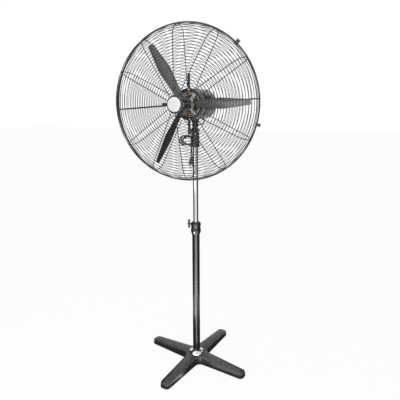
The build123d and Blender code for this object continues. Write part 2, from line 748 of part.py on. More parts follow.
# Rear cover: a rounded, stepped cap with the rear bearing seat
with BuildPart() as rear_cover:
    with BuildSketch(PROFILE):
        with BuildLine():
            back = COVER_BACK
            edge = BARREL_BACK - FIT
            seat = back + COVER_WALL + BEARING_WIDTH + SLIP
            Polyline(
                (BORE_R, edge),
                (MOTOR_R, edge),
                (MOTOR_R, edge - COVER_SKIRT),
                (MOTOR_R - COVER_ROUND, edge - COVER_SHOULDER),
                (CAP_R + COVER_ROUND, edge - COVER_SHOULDER),
                (CAP_R, back),
                (0, back),
                (0, back + COVER_WALL),
                (BEARING_R + FIT, back + COVER_WALL),
                (BEARING_R + FIT, seat),
                (BEARING_R + MOTOR_WALL, seat),
                (BEARING_R + MOTOR_WALL, back + COVER_WALL),
                (CAP_R - MOTOR_WALL, back + COVER_WALL),
                (BORE_R, edge - COVER_SKIRT),
                close=True,
            )
        make_face()
    revolve(axis=HEAD_AXIS)
    with BuildSketch(HEAD.offset(back)):
        with Locations((0, -KNOB_OFFSET), (0, KNOB_OFFSET)):
            RegularPolygon(KNOB_STEM_R + RUN, FASTENER_SIDES, major_radius=False)
    extrude(amount=COVER_WALL + COVER_LENGTH, mode=Mode.SUBTRACT)
keep(rear_cover, "rear_cover")

# Speed knob and oscillation knob on the rear cover
with BuildPart() as speed_knob:
    with BuildSketch(HEAD.offset(COVER_BACK - SLIP)):
        with Locations((0, -KNOB_OFFSET)):
            Circle(KNOB_R)
    extrude(amount=-KNOB_DEPTH, taper=KNOB_DRAFT)
    with BuildSketch(HEAD.offset(COVER_BACK - SLIP - KNOB_DEPTH)):
        with Locations((0, -KNOB_OFFSET)):
            Rectangle(GRIP_WIDTH, GRIP_LENGTH)
    extrude(amount=-GRIP_HEIGHT)
    with BuildSketch(HEAD.offset(COVER_BACK - SLIP)):
        with Locations((0, -KNOB_OFFSET)):
            Circle(KNOB_STEM_R)
    extrude(amount=COVER_WALL - KNOB_STEM_SHORT)
keep(speed_knob, "speed_knob")

with BuildPart() as oscillation_knob:
    with BuildSketch(HEAD.offset(COVER_BACK - SWING_TRAVEL)):
        with Locations((0, KNOB_OFFSET)):
            Circle(SWING_KNOB_R)
    extrude(amount=-SWING_KNOB_DEPTH)
    with BuildSketch(HEAD.offset(COVER_BACK - SWING_TRAVEL)):
        with Locations((0, KNOB_OFFSET)):
            Circle(KNOB_STEM_R)
    extrude(amount=SWING_TRAVEL + COVER_WALL - KNOB_STEM_SHORT)
keep(oscillation_knob, "oscillation_knob")

# Stator pack and its copper end windings, seen through the shield windows
with BuildPart() as stator_core:
    with BuildSketch(HEAD.offset(STACK_BACK)):
        Circle(BORE_R - FIT)
        Circle(ROTOR_R + AIR_GAP, mode=Mode.SUBTRACT)
        with PolarLocations(ROTOR_R + SLOT_SET, SLOTS):
            Rectangle(SLOT_DEPTH, SLOT_WIDTH, mode=Mode.SUBTRACT)
    extrude(amount=STACK_LENGTH)
keep(stator_core, "stator_core")

with BuildPart() as windings:
    for start in (STACK_FRONT + FIT, STACK_BACK - FIT - WINDING_REACH):
        with BuildSketch(HEAD.offset(start)):
            RegularPolygon(WINDING_OUT, SLOTS)
            RegularPolygon(WINDING_IN, SLOTS, mode=Mode.SUBTRACT)
        extrude(amount=WINDING_REACH)
keep(windings, "windings")

# Bearings
def bearing(name, front):
    with BuildPart() as ring:
        with BuildSketch(HEAD.offset(front - BEARING_WIDTH)):
            Circle(BEARING_R)
            Circle(SHAFT_R + RUN, mode=Mode.SUBTRACT)
        extrude(amount=BEARING_WIDTH)
    keep(ring, name)


bearing("front_bearing", SHIELD_FACE + BEARING_SET - FIT)
bearing("rear_bearing", COVER_BACK + COVER_WALL + BEARING_WIDTH + FIT)

# Shaft and rotor
SHAFT_FRONT = HEAD_REACH + HUB_LENGTH / 2 + SHAFT_STUB
with BuildPart() as motor_shaft:
    with BuildSketch(HEAD.offset(COVER_BACK + COVER_WALL + SLIP)):
        Circle(SHAFT_R)
    extrude(amount=SHAFT_FRONT - COVER_BACK - COVER_WALL - SLIP)
keep(motor_shaft, "motor_shaft")

with BuildPart() as rotor_core:
    with BuildSketch(HEAD.offset(STACK_BACK)):
        Circle(ROTOR_R)
        Circle(SHAFT_R + FIT, mode=Mode.SUBTRACT)
    extrude(amount=STACK_LENGTH)
keep(rotor_core, "rotor_core")

# Motor lead: a short loop under the barrel, both ends through grommets
def barrel_under(x):
    return HUB_Z - math.sqrt(MOTOR_R**2 - x**2) - LEAD_START


LEAD_PLANE = Plane(origin=(0, LEAD_Y, 0), x_dir=(1, 0, 0), z_dir=(0, -1, 0))
LEAD_BENDS = [LEAD_BEND * (barrel_under(x) - LEAD_BOTTOM) for x in (LEAD_LEFT, LEAD_RIGHT)]
print("motor lead bend radii", [round(bend, 2) for bend in LEAD_BENDS])
with BuildPart() as motor_lead:
    with BuildLine(LEAD_PLANE) as lead_path:
        FilletPolyline(
            (LEAD_LEFT, barrel_under(LEAD_LEFT)),
            (LEAD_LEFT, LEAD_BOTTOM),
            (LEAD_RIGHT, LEAD_BOTTOM),
            (LEAD_RIGHT, barrel_under(LEAD_RIGHT)),
            radius=LEAD_BENDS,
        )
    with BuildSketch(Plane(origin=lead_path.wire() @ 0, z_dir=lead_path.wire() % 0)):
        RegularPolygon(LEAD_R, CORD_SIDES)
    sweep()
keep(motor_lead, "motor_lead")

with BuildPart() as lead_grommets:
    for x in (LEAD_LEFT, LEAD_RIGHT):
        with BuildSketch(Plane(origin=(x, LEAD_Y, barrel_under(x) - FIT), z_dir=(0, 0, -1))):
            RegularPolygon(LEAD_R + GROMMET_WALL, FASTENER_SIDES)
            RegularPolygon(LEAD_R + SLIP, FASTENER_SIDES, mode=Mode.SUBTRACT)
        extrude(amount=GROMMET_LENGTH)
keep(lead_grommets, "lead_grommets")

# Guard bracket: a ring with flat straps that carry the rear guard
with BuildPart() as guard_bracket:
    with BuildSketch(HEAD.offset(SHIELD_FACE + FIT)):
        Circle(MOTOR_R)
        with PolarLocations(0, STRAPS):
            Polygon(
                (0, -STRAP_WIDTH / 2),
                (STRAP_REACH, -STRAP_WIDTH / 2),
                (STRAP_REACH, STRAP_WIDTH / 2),
                (0, STRAP_WIDTH / 2),
                align=None,
            )
        Circle(STRAP_BOLT_CIRCLE - BRACKET_INSET, mode=Mode.SUBTRACT)
        with PolarLocations(STRAP_BOLT_CIRCLE, STRAPS):
            RegularPolygon(STRAP_BOLT_R + FIT, FASTENER_SIDES, mode=Mode.SUBTRACT)
    extrude(amount=STRAP_THICK - FIT)
keep(guard_bracket, "guard_bracket")

with BuildPart() as bracket_bolts:
    with BuildSketch(HEAD.offset(BARREL_FRONT - BARREL_FLANGE)):
        with PolarLocations(STRAP_BOLT_CIRCLE, STRAPS):
            RegularPolygon(STRAP_BOLT_R, FASTENER_SIDES)
    extrude(amount=BARREL_FLANGE + SHIELD_DEPTH + STRAP_THICK + HEAD_SINK)
    with BuildSketch(HEAD.offset(STRAP_FRONT + FIT)):
        with PolarLocations(STRAP_BOLT_CIRCLE, STRAPS):
            RegularPolygon(STRAP_HEX, HEX_SIDES, major_radius=False)
    extrude(amount=STRAP_HEAD_HEIGHT)
keep(bracket_bolts, "bracket_bolts")


# Wire guard: each half has bent ribs inside and rings laid over them
def rib_line(bend, *points):
    with BuildLine() as line:
        FilletPolyline(*points, radius=bend)
    return line.wire()


def guard_ribs(name, line):
    with BuildPart() as ribs:
        for k in range(RIBS):
            plane = spoke(RIB_TURN + 360 / RIBS * k)
            path = plane.from_local_coords(line)
            with BuildSketch(Plane(origin=path @ 0, x_dir=plane.z_dir, z_dir=path % 0)):
                Rectangle(RIB_WIRE, RIB_WIRE)
            sweep(path=path)
    keep(ribs, name)


def guard_rings(name, line, outside, count):
    reach = RIB_WIRE / 2 + FIT
    half = RING_WIRE / 2
    with BuildPart() as rings:
        for i in range(count):
            along = (RING_PITCH * (i + 1)) / line.length
            spot = line.position_at(along)
            run = line.tangent_at(along)
            out = Vector(run.Y, -run.X) * outside
            lift = reach + half * (abs(out.X) + abs(out.Y))
            ring = spot + out * lift
            with BuildSketch(HEAD.offset(ring.Y - half)):
                with Locations((0, 0)):
                    facing = 90 - RIB_TURN + 180 / RING_SIDES
                    RegularPolygon(ring.X + half, RING_SIDES, major_radius=False, rotation=facing)
                    RegularPolygon(
                        ring.X - half, RING_SIDES, major_radius=False, rotation=facing, mode=Mode.SUBTRACT
                    )
        extrude(amount=RING_WIRE)
    keep(rings, name)


def guard_rim(name, start):
    with BuildPart() as rim:
        with BuildSketch(HEAD.offset(start)):
            Circle(RIM_R)
            Circle(RIM_R - RIM_WIRE, mode=Mode.SUBTRACT)
        extrude(amount=RIM_WIRE)
    keep(rim, name)


front_line = rib_line(
    FRONT_BEND,
    (RIB_R, HEAD_REACH + SLIP),
    (RIB_R - RIB_LEAN, HEAD_REACH + FRONT_DEPTH),
    (FRONT_INNER, FRONT_CENTRE),
)
back_line = rib_line(
    BACK_BEND,
    (RIB_R, HEAD_REACH - SLIP),
    (RIB_R - RIB_LEAN, HEAD_REACH - BACK_DEPTH),
    (BACK_INNER, HEAD_REACH - BACK_DEPTH),
)
FRONT_RINGS = int((front_line.length - PLATE_R + FRONT_INNER) / RING_PITCH)
BACK_RINGS = int(back_line.length / RING_PITCH)

guard_ribs("front_guard_ribs", front_line)
guard_rings("front_guard_rings", front_line, 1, FRONT_RINGS)
guard_rim("front_guard_rim", HEAD_REACH + FIT)
guard_ribs("rear_guard_ribs", back_line)
guard_rings("rear_guard_rings", back_line, -1, BACK_RINGS)
guard_rim("rear_guard_rim", HEAD_REACH - FIT - RIM_WIRE)

# Plate that the front ribs are welded to, and the bare badge over it
with BuildPart() as centre_plate:
    crown_slope = math.atan2(FRONT_CROWN, RIB_R - RIB_LEAN - FRONT_INNER)
    plate_drop = (PLATE_R - FRONT_INNER) * math.tan(crown_slope)
    back_face = FRONT_CENTRE - plate_drop - RIB_WIRE / 2 / math.cos(crown_slope) - FIT
    with BuildSketch(HEAD.offset(back_face)):
        Circle(PLATE_R)
    extrude(amount=-PLATE_THICK)
keep(centre_plate, "centre_plate")

with BuildPart() as badge:
    with BuildSketch(HEAD.offset(FRONT_CENTRE + RIB_WIRE / 2 + BADGE_GAP)):
        Circle(BADGE_R)
    extrude(amount=BADGE_THICK)
    chamfer(badge.faces().sort_by(HEAD_AXIS)[-1].edges(), BADGE_THICK / 2)
    with BuildSketch(HEAD.offset(back_face + FIT)):
        Circle(FRONT_INNER - BADGE_STEM_INSET)
    extrude(amount=FRONT_CENTRE - back_face + BADGE_STEM_SINK)
keep(badge, "badge")

# Clips that hold the two rims together, with their screws
with BuildPart() as rim_clips:
    for angle in CLIP_ANGLES:
        side = RIM_WIRE + FIT + SLIP
        grip = RIM_R - RIM_WIRE
        outer = RIM_R + CLIP_REACH
        with BuildSketch(spoke(angle).offset(-CLIP_WIDTH / 2)):
            with BuildLine():
                Polyline(
                    (grip, HEAD_REACH - side - CLIP_WALL),
                    (outer, HEAD_REACH - side - CLIP_WALL),
                    (outer, HEAD_REACH + side + CLIP_WALL),
                    (grip, HEAD_REACH + side + CLIP_WALL),
                    (grip, HEAD_REACH + side),
                    (RIM_R + SLIP, HEAD_REACH + side),
                    (RIM_R + SLIP, HEAD_REACH - side),
                    (grip, HEAD_REACH - side),
                    close=True,
                )
            make_face()
        extrude(amount=CLIP_WIDTH)
    with BuildSketch(HEAD.offset(HEAD_REACH - side - CLIP_WALL - OVERCUT)):
        for angle in CLIP_ANGLES:
            with PolarLocations(RIM_R + CLIP_SCREW_SET, 1, start_angle=90 - angle):
                RegularPolygon(CLIP_SCREW_R + FIT, FASTENER_SIDES)
    extrude(amount=2 * (side + CLIP_WALL + OVERCUT), mode=Mode.SUBTRACT)
keep(rim_clips, "rim_clips")

with BuildPart() as clip_screws:
    with BuildSketch(HEAD.offset(HEAD_REACH - side - CLIP_WALL - CLIP_SCREW_TAIL)):
        for angle in CLIP_ANGLES:
            with PolarLocations(RIM_R + CLIP_SCREW_SET, 1, start_angle=90 - angle):
                RegularPolygon(CLIP_SCREW_R, FASTENER_SIDES)
    extrude(amount=2 * side + 2 * CLIP_WALL + CLIP_SCREW_TAIL + HEAD_SINK)
    with BuildSketch(HEAD.offset(HEAD_REACH + side + CLIP_WALL + FIT)):
        for angle in CLIP_ANGLES:
            with PolarLocations(RIM_R + CLIP_SCREW_SET, 1, start_angle=90 - angle):
                RegularPolygon(CLIP_HEAD_R, FASTENER_SIDES)
    extrude(amount=CLIP_HEAD_HEIGHT)
keep(clip_screws, "clip_screws")


# Blade hub with pitched arms
def blade_plane(angle):
    """Plane of one blade: x runs along the chord, y runs outward, z faces forward."""
    turn = math.radians(angle)
    pitch = math.radians(BLADE_PITCH)
    outward = Vector(math.sin(turn), 0, math.cos(turn))
    chord = Vector(math.cos(turn) * math.cos(pitch), math.sin(pitch), -math.sin(turn) * math.cos(pitch))
    return Plane(origin=(0, -HEAD_REACH, HUB_Z), x_dir=chord, z_dir=chord.cross(outward))


BLADE_ANGLES = [BLADE_TURN + 360 / BLADES * k for k in range(BLADES)]
RIVET_SPOTS = [BLADE_ROOT + RIVET_INSET + RIVET_PITCH * i for i in range(RIVETS)]
ARM_BACK = BLADE_THICK / 2 + FIT

with BuildPart() as blade_hub:
    with BuildSketch(HEAD.offset(HEAD_REACH - HUB_LENGTH / 2)):
        Circle(HUB_R)
    extrude(amount=HUB_LENGTH)
    chamfer(blade_hub.edges().filter_by(GeomType.CIRCLE), HUB_CHAMFER)
    for angle in BLADE_ANGLES:
        with BuildSketch(blade_plane(angle).offset(-ARM_BACK)):
            with Locations((0, (ARM_REACH + HUB_R - ARM_ROOT) / 2)):
                Rectangle(ARM_WIDTH, ARM_REACH - HUB_R + ARM_ROOT)
        extrude(amount=-ARM_THICK)
    for angle in BLADE_ANGLES:
        with BuildSketch(blade_plane(angle)):
            for spot in RIVET_SPOTS:
                with Locations((0, spot)):
                    RegularPolygon(RIVET_R + FIT, RIVET_SIDES)
        extrude(amount=-ARM_BACK - ARM_THICK - OVERCUT, mode=Mode.SUBTRACT)
    with BuildSketch(HEAD.offset(HEAD_REACH - HUB_LENGTH)):
        Circle(SHAFT_R + FIT)
    extrude(amount=2 * HUB_LENGTH, mode=Mode.SUBTRACT)
keep(blade_hub, "blade_hub")


# Cambered paddle blades
def blade(name, angle):
    plane = blade_plane(angle)
    across = Plane(origin=plane.origin + plane.y_dir * BLADE_ROOT, x_dir=plane.x_dir, z_dir=plane.y_dir)
    with BuildPart() as paddle:
        with BuildSketch(across):
            with Locations((0, -BLADE_CAMBER)):
                Circle(BLADE_CAMBER + BLADE_THICK / 2)
                Circle(BLADE_CAMBER - BLADE_THICK / 2, mode=Mode.SUBTRACT)
        extrude(amount=BLADE_TIP - BLADE_ROOT)
        with BuildSketch(plane.offset(-BLADE_ROOM)) as outline:
            Polygon(
                (-BLADE_ROOT_CHORD / 2, BLADE_ROOT),
                (BLADE_ROOT_CHORD / 2, BLADE_ROOT),
                (BLADE_CHORD / 2, BLADE_WIDEST),
                (BLADE_TIP_CHORD / 2, BLADE_TIP),
                (-BLADE_TIP_CHORD / 2, BLADE_TIP),
                (-BLADE_CHORD / 2, BLADE_WIDEST),
                align=None,
            )
            fillet(outline.vertices().group_by(Axis.Y)[-1], BLADE_ROUND)
        extrude(amount=2 * BLADE_ROOM, mode=Mode.INTERSECT)
        with BuildSketch(plane.offset(-BLADE_ROOM)):
            for spot in RIVET_SPOTS:
                with Locations((0, spot)):
                    RegularPolygon(RIVET_R + FIT, RIVET_SIDES)
        extrude(amount=2 * BLADE_ROOM, mode=Mode.SUBTRACT)
    keep(paddle, name)


for k in range(BLADES):
    blade("blade_" + str(k + 1), BLADE_ANGLES[k])

with BuildPart() as blade_rivets:
    for angle in BLADE_ANGLES:
        plane = blade_plane(angle)
        with BuildSketch(plane.offset(-ARM_BACK - ARM_THICK - RIVET_HEAD)):
            for spot in RIVET_SPOTS:
                with Locations((0, spot)):
                    RegularPolygon(RIVET_R, RIVET_SIDES)
        extrude(amount=ARM_BACK + ARM_THICK + BLADE_THICK / 2 + 2 * RIVET_HEAD)
        for start in (BLADE_THICK / 2 + 2 * FIT, -ARM_BACK - ARM_THICK - FIT - RIVET_HEAD):
            with BuildSketch(plane.offset(start)):
                for spot in RIVET_SPOTS:
                    with Locations((0, spot)):
                        RegularPolygon(RIVET_R + RIVET_BRIM, RIVET_SIDES)
            extrude(amount=RIVET_HEAD)
keep(blade_rivets, "blade_rivets")

with BuildPart() as hub_nut:
    with BuildSketch(HEAD.offset(HEAD_REACH + HUB_LENGTH / 2 + FIT)):
        RegularPolygon(HUB_NUT_HEX, HEX_SIDES, major_radius=False)
        Circle(SHAFT_R + FIT, mode=Mode.SUBTRACT)
    extrude(amount=HUB_NUT_HEIGHT)
keep(hub_nut, "hub_nut")

# Mains cord, put away as a hank beside the socket: one tube from the plug through its loops to the gland
LOOP_RIGHT = -(SOCKET_R + SOCKET_BEAD + CORD_GAP + CORD_R + LOOP_BEND)
LOOP_LEFT = LOOP_RIGHT - LOOP_RUN
LOOP_TOP = LOOP_Z + LOOP_BEND
LOOP_LOW = LOOP_Z - LOOP_BEND
TAIL_X = LOOP_RIGHT + LOOP_BEND
PLUG_TOP = LOOP_Z - TAIL_DROP
CLIMB = LOOP_PITCH / 2
DIAGONAL = LOOP_BEND * math.sqrt(0.5)
SWAY = 2 * math.atan2(CLIMB, LOOP_RUN)
SWAY_R = LOOP_RUN / (2 * math.sin(SWAY))
print("cord bend radii", LOOP_BEND, round(SWAY_R, 2), ENTRY_BEND)


def climb_points(start, end, y, z):
    """Five points of a run that moves over by one climb on two equal arcs."""
    way = math.copysign(1, end - start)
    quarter = way * SWAY_R * math.sin(SWAY / 2)
    rise = SWAY_R * (1 - math.cos(SWAY / 2))
    middle = ((start + end) / 2, y + CLIMB / 2, z)
    return [
        (start, y, z),
        (start + quarter, y + rise, z),
        middle,
        (end - quarter, y + CLIMB - rise, z),
        (end, y + CLIMB, z),
    ]


def half_turn_points(x, y, side):
    """Five points of a half turn: side 1 rises on the right, side -1 falls on the left."""
    return [
        (x, y, LOOP_Z - side * LOOP_BEND),
        (x + side * DIAGONAL, y, LOOP_Z - side * DIAGONAL),
        (x + side * LOOP_BEND, y, LOOP_Z),
        (x + side * DIAGONAL, y, LOOP_Z + side * DIAGONAL),
        (x, y, LOOP_Z + side * LOOP_BEND),
    ]


with BuildPart() as cord:
    with BuildLine() as route:
        first = half_turn_points(LOOP_RIGHT, LOOP_START, 1)
        Line((TAIL_X, LOOP_START, PLUG_TOP), first[2])
        ThreePointArc(*first[2:])
        for k in range(LOOPS):
            y = LOOP_START + LOOP_PITCH * k
            stretches = [
                climb_points(LOOP_RIGHT, LOOP_LEFT, y, LOOP_TOP),
                half_turn_points(LOOP_LEFT, y + CLIMB, -1),
                climb_points(LOOP_LEFT, LOOP_RIGHT, y + CLIMB, LOOP_LOW),
            ]
            if k < LOOPS - 1:
                stretches.append(half_turn_points(LOOP_RIGHT, y + LOOP_PITCH, 1))
            for points in stretches:
                ThreePointArc(*points[:3])
                ThreePointArc(*points[2:])
        last = LOOP_START + LOOP_PITCH * LOOPS
        inner = ENTRY_BEND * math.sqrt(0.5)
        Line((LOOP_RIGHT, last, LOOP_LOW), (-ENTRY_BEND, last, LOOP_LOW))
        ThreePointArc(
            (-ENTRY_BEND, last, LOOP_LOW),
            (inner - ENTRY_BEND, last - ENTRY_BEND + inner, LOOP_LOW),
            (0, last - ENTRY_BEND, LOOP_LOW),
        )
        Line((0, last - ENTRY_BEND, LOOP_LOW), (0, SOCKET_R + GLAND_LENGTH, LOOP_LOW))
    with BuildSketch(Plane(origin=(TAIL_X, LOOP_START, PLUG_TOP), z_dir=(0, 0, 1))):
        RegularPolygon(CORD_R, CORD_SIDES, rotation=180 / CORD_SIDES)
    sweep()
keep(cord, "cord")

run = route.wire()
stations = int(run.length / CORD_STATION)
spots = [run.position_at(i / stations) for i in range(stations + 1)]
apart = int(CORD_NEIGHBOUR / CORD_STATION)
least = min(
    (spots[i] - spots[j]).length for i in range(len(spots)) for j in range(i + apart, len(spots))
)
print("cord length", round(run.length), "least gap to itself", round(least - 2 * CORD_R, 2))

with BuildPart() as cord_gland:
    with BuildSketch(Plane.XZ.offset(-SOCKET_R + GLAND_SINK - FIT)):
        with Locations((0, LOOP_LOW)):
            Circle(GLAND_R)
    extrude(amount=-GLAND_LENGTH - GLAND_SINK + FIT)
keep(cord_gland, "cord_gland")

# Tie band round the upper runs of the hank
with BuildPart() as cord_tie:
    with BuildSketch(Plane.YZ.offset((LOOP_LEFT + LOOP_RIGHT - TIE_WIDTH) / 2)):
        with Locations((LOOP_START + LOOP_PITCH * (LOOPS - 1) / 2 + CLIMB / 2, LOOP_TOP)):
            wide = LOOP_PITCH * (LOOPS - 1) + 2 * CORD_R + CLIMB
            high = 2 * CORD_R + 2 * SLIP
            RectangleRounded(wide + 2 * TIE_WALL, high + 2 * TIE_WALL, TIE_ROUND)
            RectangleRounded(wide, high, TIE_INNER_ROUND, mode=Mode.SUBTRACT)
    extrude(amount=TIE_WIDTH)
keep(cord_tie, "cord_tie")

# Plug hanging from the hank
with BuildPart() as plug_body:
    with BuildSketch(Plane.XY.offset(PLUG_TOP)):
        with Locations((TAIL_X, LOOP_START)):
            Circle(CORD_R + STRAIN_WALL)
    extrude(amount=-PLUG_HEIGHT / 2)
    with BuildSketch(Plane.XY.offset(PLUG_TOP - PLUG_HEIGHT)):
        with Locations((TAIL_X, LOOP_START)):
            Rectangle(PLUG_WIDTH, PLUG_DEPTH)
    extrude(amount=PLUG_BODY_HEIGHT, taper=PLUG_DRAFT)
    with BuildSketch(Plane.XY.offset(PLUG_TOP - PLUG_HEIGHT)):
        with Locations((TAIL_X - PIN_PITCH / 2, LOOP_START), (TAIL_X + PIN_PITCH / 2, LOOP_START)):
            Circle(PIN_R + FIT)
    extrude(amount=PIN_BORE, mode=Mode.SUBTRACT)
keep(plug_body, "plug_body")

with BuildPart() as plug_pins:
    with BuildSketch(Plane.XY.offset(PLUG_TOP - PLUG_HEIGHT - PIN_LENGTH)):
        with Locations((TAIL_X - PIN_PITCH / 2, LOOP_START), (TAIL_X + PIN_PITCH / 2, LOOP_START)):
            RegularPolygon(PIN_R, FASTENER_SIDES)
    extrude(amount=PIN_LENGTH + PIN_SEAT)
keep(plug_pins, "plug_pins")
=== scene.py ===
import math

import bmesh
import bpy
from mathutils import Matrix, Vector


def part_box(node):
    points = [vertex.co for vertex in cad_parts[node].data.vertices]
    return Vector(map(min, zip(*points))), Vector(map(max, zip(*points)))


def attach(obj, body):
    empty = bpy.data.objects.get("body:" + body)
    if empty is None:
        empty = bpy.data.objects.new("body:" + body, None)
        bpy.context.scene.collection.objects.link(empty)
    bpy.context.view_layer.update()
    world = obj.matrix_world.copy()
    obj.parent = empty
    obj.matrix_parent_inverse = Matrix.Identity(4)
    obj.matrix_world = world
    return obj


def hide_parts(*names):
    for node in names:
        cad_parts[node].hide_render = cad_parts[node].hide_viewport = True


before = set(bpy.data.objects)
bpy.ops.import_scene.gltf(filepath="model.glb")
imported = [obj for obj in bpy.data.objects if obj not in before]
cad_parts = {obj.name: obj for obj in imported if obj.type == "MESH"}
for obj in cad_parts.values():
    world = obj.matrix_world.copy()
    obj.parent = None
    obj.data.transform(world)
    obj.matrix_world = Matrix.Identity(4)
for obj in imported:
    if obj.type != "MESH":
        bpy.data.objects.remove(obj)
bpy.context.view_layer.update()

# Studio: a pale floor and a white surround, seen from the photograph's place, with two softboxes in front
# and one overhead. Cards that only reflections see draw the gloss of the fan: dark ones at its sides and
# under it, a grey one behind for the barrel, and bright ones in front of the pole and on the floor.
CAMERA_PLACE = (0.8377, -2.0454, 1.5758)
CAMERA_DIP = 13.73
CAMERA_TURN = 21.64
CAMERA_ROLL = -0.2
CAMERA_LENS = 35.96
FLOOR_SIZE = 40.0
FLOOR_COLOUR = (0.86, 0.86, 0.86, 1)
FLOOR_GLOW = 0.95
AMBIENT = 0.4

scene = bpy.context.scene
scene.view_settings.view_transform = "Standard"

camera_data = bpy.data.cameras.new("camera")
camera_data.lens = CAMERA_LENS
camera_data.sensor_width = 36
camera_data.clip_end = 100
camera = bpy.data.objects.new("camera", camera_data)
camera.location = CAMERA_PLACE
turn_about = Matrix.Rotation(math.radians(CAMERA_TURN), 3, "Z")
dip_about = Matrix.Rotation(math.radians(90 - CAMERA_DIP), 3, "X")
roll_about = Matrix.Rotation(math.radians(CAMERA_ROLL), 3, "Z")
camera.rotation_euler = (turn_about @ dip_about @ roll_about).to_euler()
scene.collection.objects.link(camera)
scene.camera = camera


def in_use(sockets, label):
    """A node's socket by its number or its name, and of several with that name the one in use."""
    if isinstance(label, int):
        return sockets[label]
    named = [socket for socket in sockets if socket.name == label]
    return next((socket for socket in named if socket.enabled), named[0])


def fed(node, feeds=None, values=None):
    """Give a node its plain values and what feeds it: sockets, or nodes by their first output in use."""
    for label, value in (values or {}).items():
        in_use(node.inputs, label).default_value = value
    for label, source in (feeds or {}).items():
        if isinstance(source, bpy.types.Node):
            source = next(socket for socket in source.outputs if socket.enabled)
        node.id_data.links.new(source, in_use(node.inputs, label))
    return node


def node_maker(tree):
    """What adds nodes to a tree."""

    def make(kind, feeds=None, values=None, **settings):
        """Add a node with its settings, its plain values and what feeds it."""
        node = tree.nodes.new(kind)
        for setting, value in settings.items():
            setattr(node, setting, value)
        return fed(node, feeds, values)

    return make


def seen_directly(make):
    """A value that is 1 where the camera, a reflection or clear glass looks straight at a surface."""
    path = make("ShaderNodeLightPath").outputs
    total = path["Is Camera Ray"]
    for name in ("Is Glossy Ray", "Is Transmission Ray"):
        total = make("ShaderNodeMath", {0: total, 1: path[name]}, operation="MAXIMUM")
    return total


WHITE = (1, 1, 1, 1)
world = bpy.data.worlds.new("white_surround")
scene.world = world
world.use_nodes = True
make = node_maker(world.node_tree)
strength = make("ShaderNodeMapRange", {"Value": seen_directly(make)}, {"To Min": AMBIENT, "To Max": 1.0})
fed(world.node_tree.nodes["Background"], {"Strength": strength}, {"Color": WHITE})


def stage_card(name, size, place, turn, material):
    """A flat rectangle that belongs to the studio and not to the fan."""
    half_w, half_h = size[0] / 2, size[1] / 2
    corners = [(-half_w, -half_h, 0), (half_w, -half_h, 0), (half_w, half_h, 0), (-half_w, half_h, 0)]
    mesh = bpy.data.meshes.new(name)
    mesh.from_pydata(corners, [], [(0, 1, 2, 3)])
    mesh.materials.append(material)
    card = bpy.data.objects.new(name, mesh)
    card.location = place
    card.rotation_euler = [math.radians(angle) for angle in turn]
    scene.collection.objects.link(card)
    return card


floor_material = bpy.data.materials.new("pale_floor")
floor_material.use_nodes = True
floor_material.node_tree.nodes.clear()
make = node_maker(floor_material.node_tree)
paint = make("ShaderNodeBsdfDiffuse", None, {"Color": FLOOR_COLOUR})
glow = make("ShaderNodeEmission", None, {"Color": WHITE})
share = make("ShaderNodeMath", {0: seen_directly(make)}, {1: FLOOR_GLOW}, operation="MULTIPLY")
mixed = make("ShaderNodeMixShader", {"Fac": share, 1: paint, 2: glow})
make("ShaderNodeOutputMaterial", {"Surface": mixed})
stage_card("floor", (FLOOR_SIZE, FLOOR_SIZE), (0, 0, 0), (0, 0, 0), floor_material)


def plain_card(name, colour, glow):
    """A card's material: a dull colour, or a plain glow where one is given."""
    material = bpy.data.materials.new(name)
    material.use_nodes = True
    fed(
        material.node_tree.nodes["Principled BSDF"],
        values={
            "Base Color": (*colour, 1),
            "Roughness": 1.0,
            "Specular IOR Level": 0.0,
            "Emission Color": WHITE,
            "Emission Strength": glow,
        },
    )
    return material


def glowing_inward(material):
    """Make an upright card clear from outside, so that it glows towards the pole alone."""
    tree = material.node_tree
    make = node_maker(tree)
    inside = make("ShaderNodeNewGeometry").outputs["Backfacing"]
    clear = make("ShaderNodeBsdfTransparent")
    sides = make("ShaderNodeMixShader", {"Fac": inside, 1: clear, 2: tree.nodes["Principled BSDF"]})
    fed(tree.nodes["Material Output"], {"Surface": sides})
    return material


def reflection_card(name, size, place, turn, material):
    """A card that shows in reflections only."""
    card = stage_card(name, size, place, turn, material)
    card.visible_camera = False
    card.visible_diffuse = False
    card.visible_shadow = False
    card.visible_transmission = False


def round_pole(distance, turn, height):
    """A place at a distance from the pole, at a turn from the camera's side."""
    around = math.radians(CAMERA_TURN + turn)
    return (distance * math.sin(around), -distance * math.cos(around), height)


BLACK = (0.0, 0.0, 0.0)
STRIPE_GLOW = 4.4
STRIPE_TURN = 2
SIDE_TURNS = (-125, -78, 70, 118)
DARK_CARD = plain_card("dark_card", (0.1, 0.1, 0.1), 0.0)
GREY_CARD = plain_card("grey_card", BLACK, 0.1)
BRIGHT_CARD = glowing_inward(plain_card("bright_card", BLACK, STRIPE_GLOW))
FLOOR_STRIP = plain_card("floor_strip", BLACK, STRIPE_GLOW)
FLOOR_REFLECTOR = plain_card("floor_reflector", BLACK, 8.0)

# Upright cards: width and height, distance from the pole, turn from the camera, height of the middle
upright_cards = [
    ("back_card", (3.2, 3.4), 6.0, 142, 2.2, GREY_CARD),
    ("front_card", (0.41, 0.62), 0.42, STRIPE_TURN, 0.45, BRIGHT_CARD),
]
for turn in SIDE_TURNS:
    upright_cards.append(("far_card_%d" % turn, (2.2, 3.2), 2.6, turn, 2.4, DARK_CARD))
    upright_cards.append(("near_card_%d" % turn, (0.72, 1.1), 0.82, turn, 0.56, DARK_CARD))
for name, size, distance, turn, height, material in upright_cards:
    reflection_card(name, size, round_pole(distance, turn, height), (90, 0, CAMERA_TURN + turn), material)

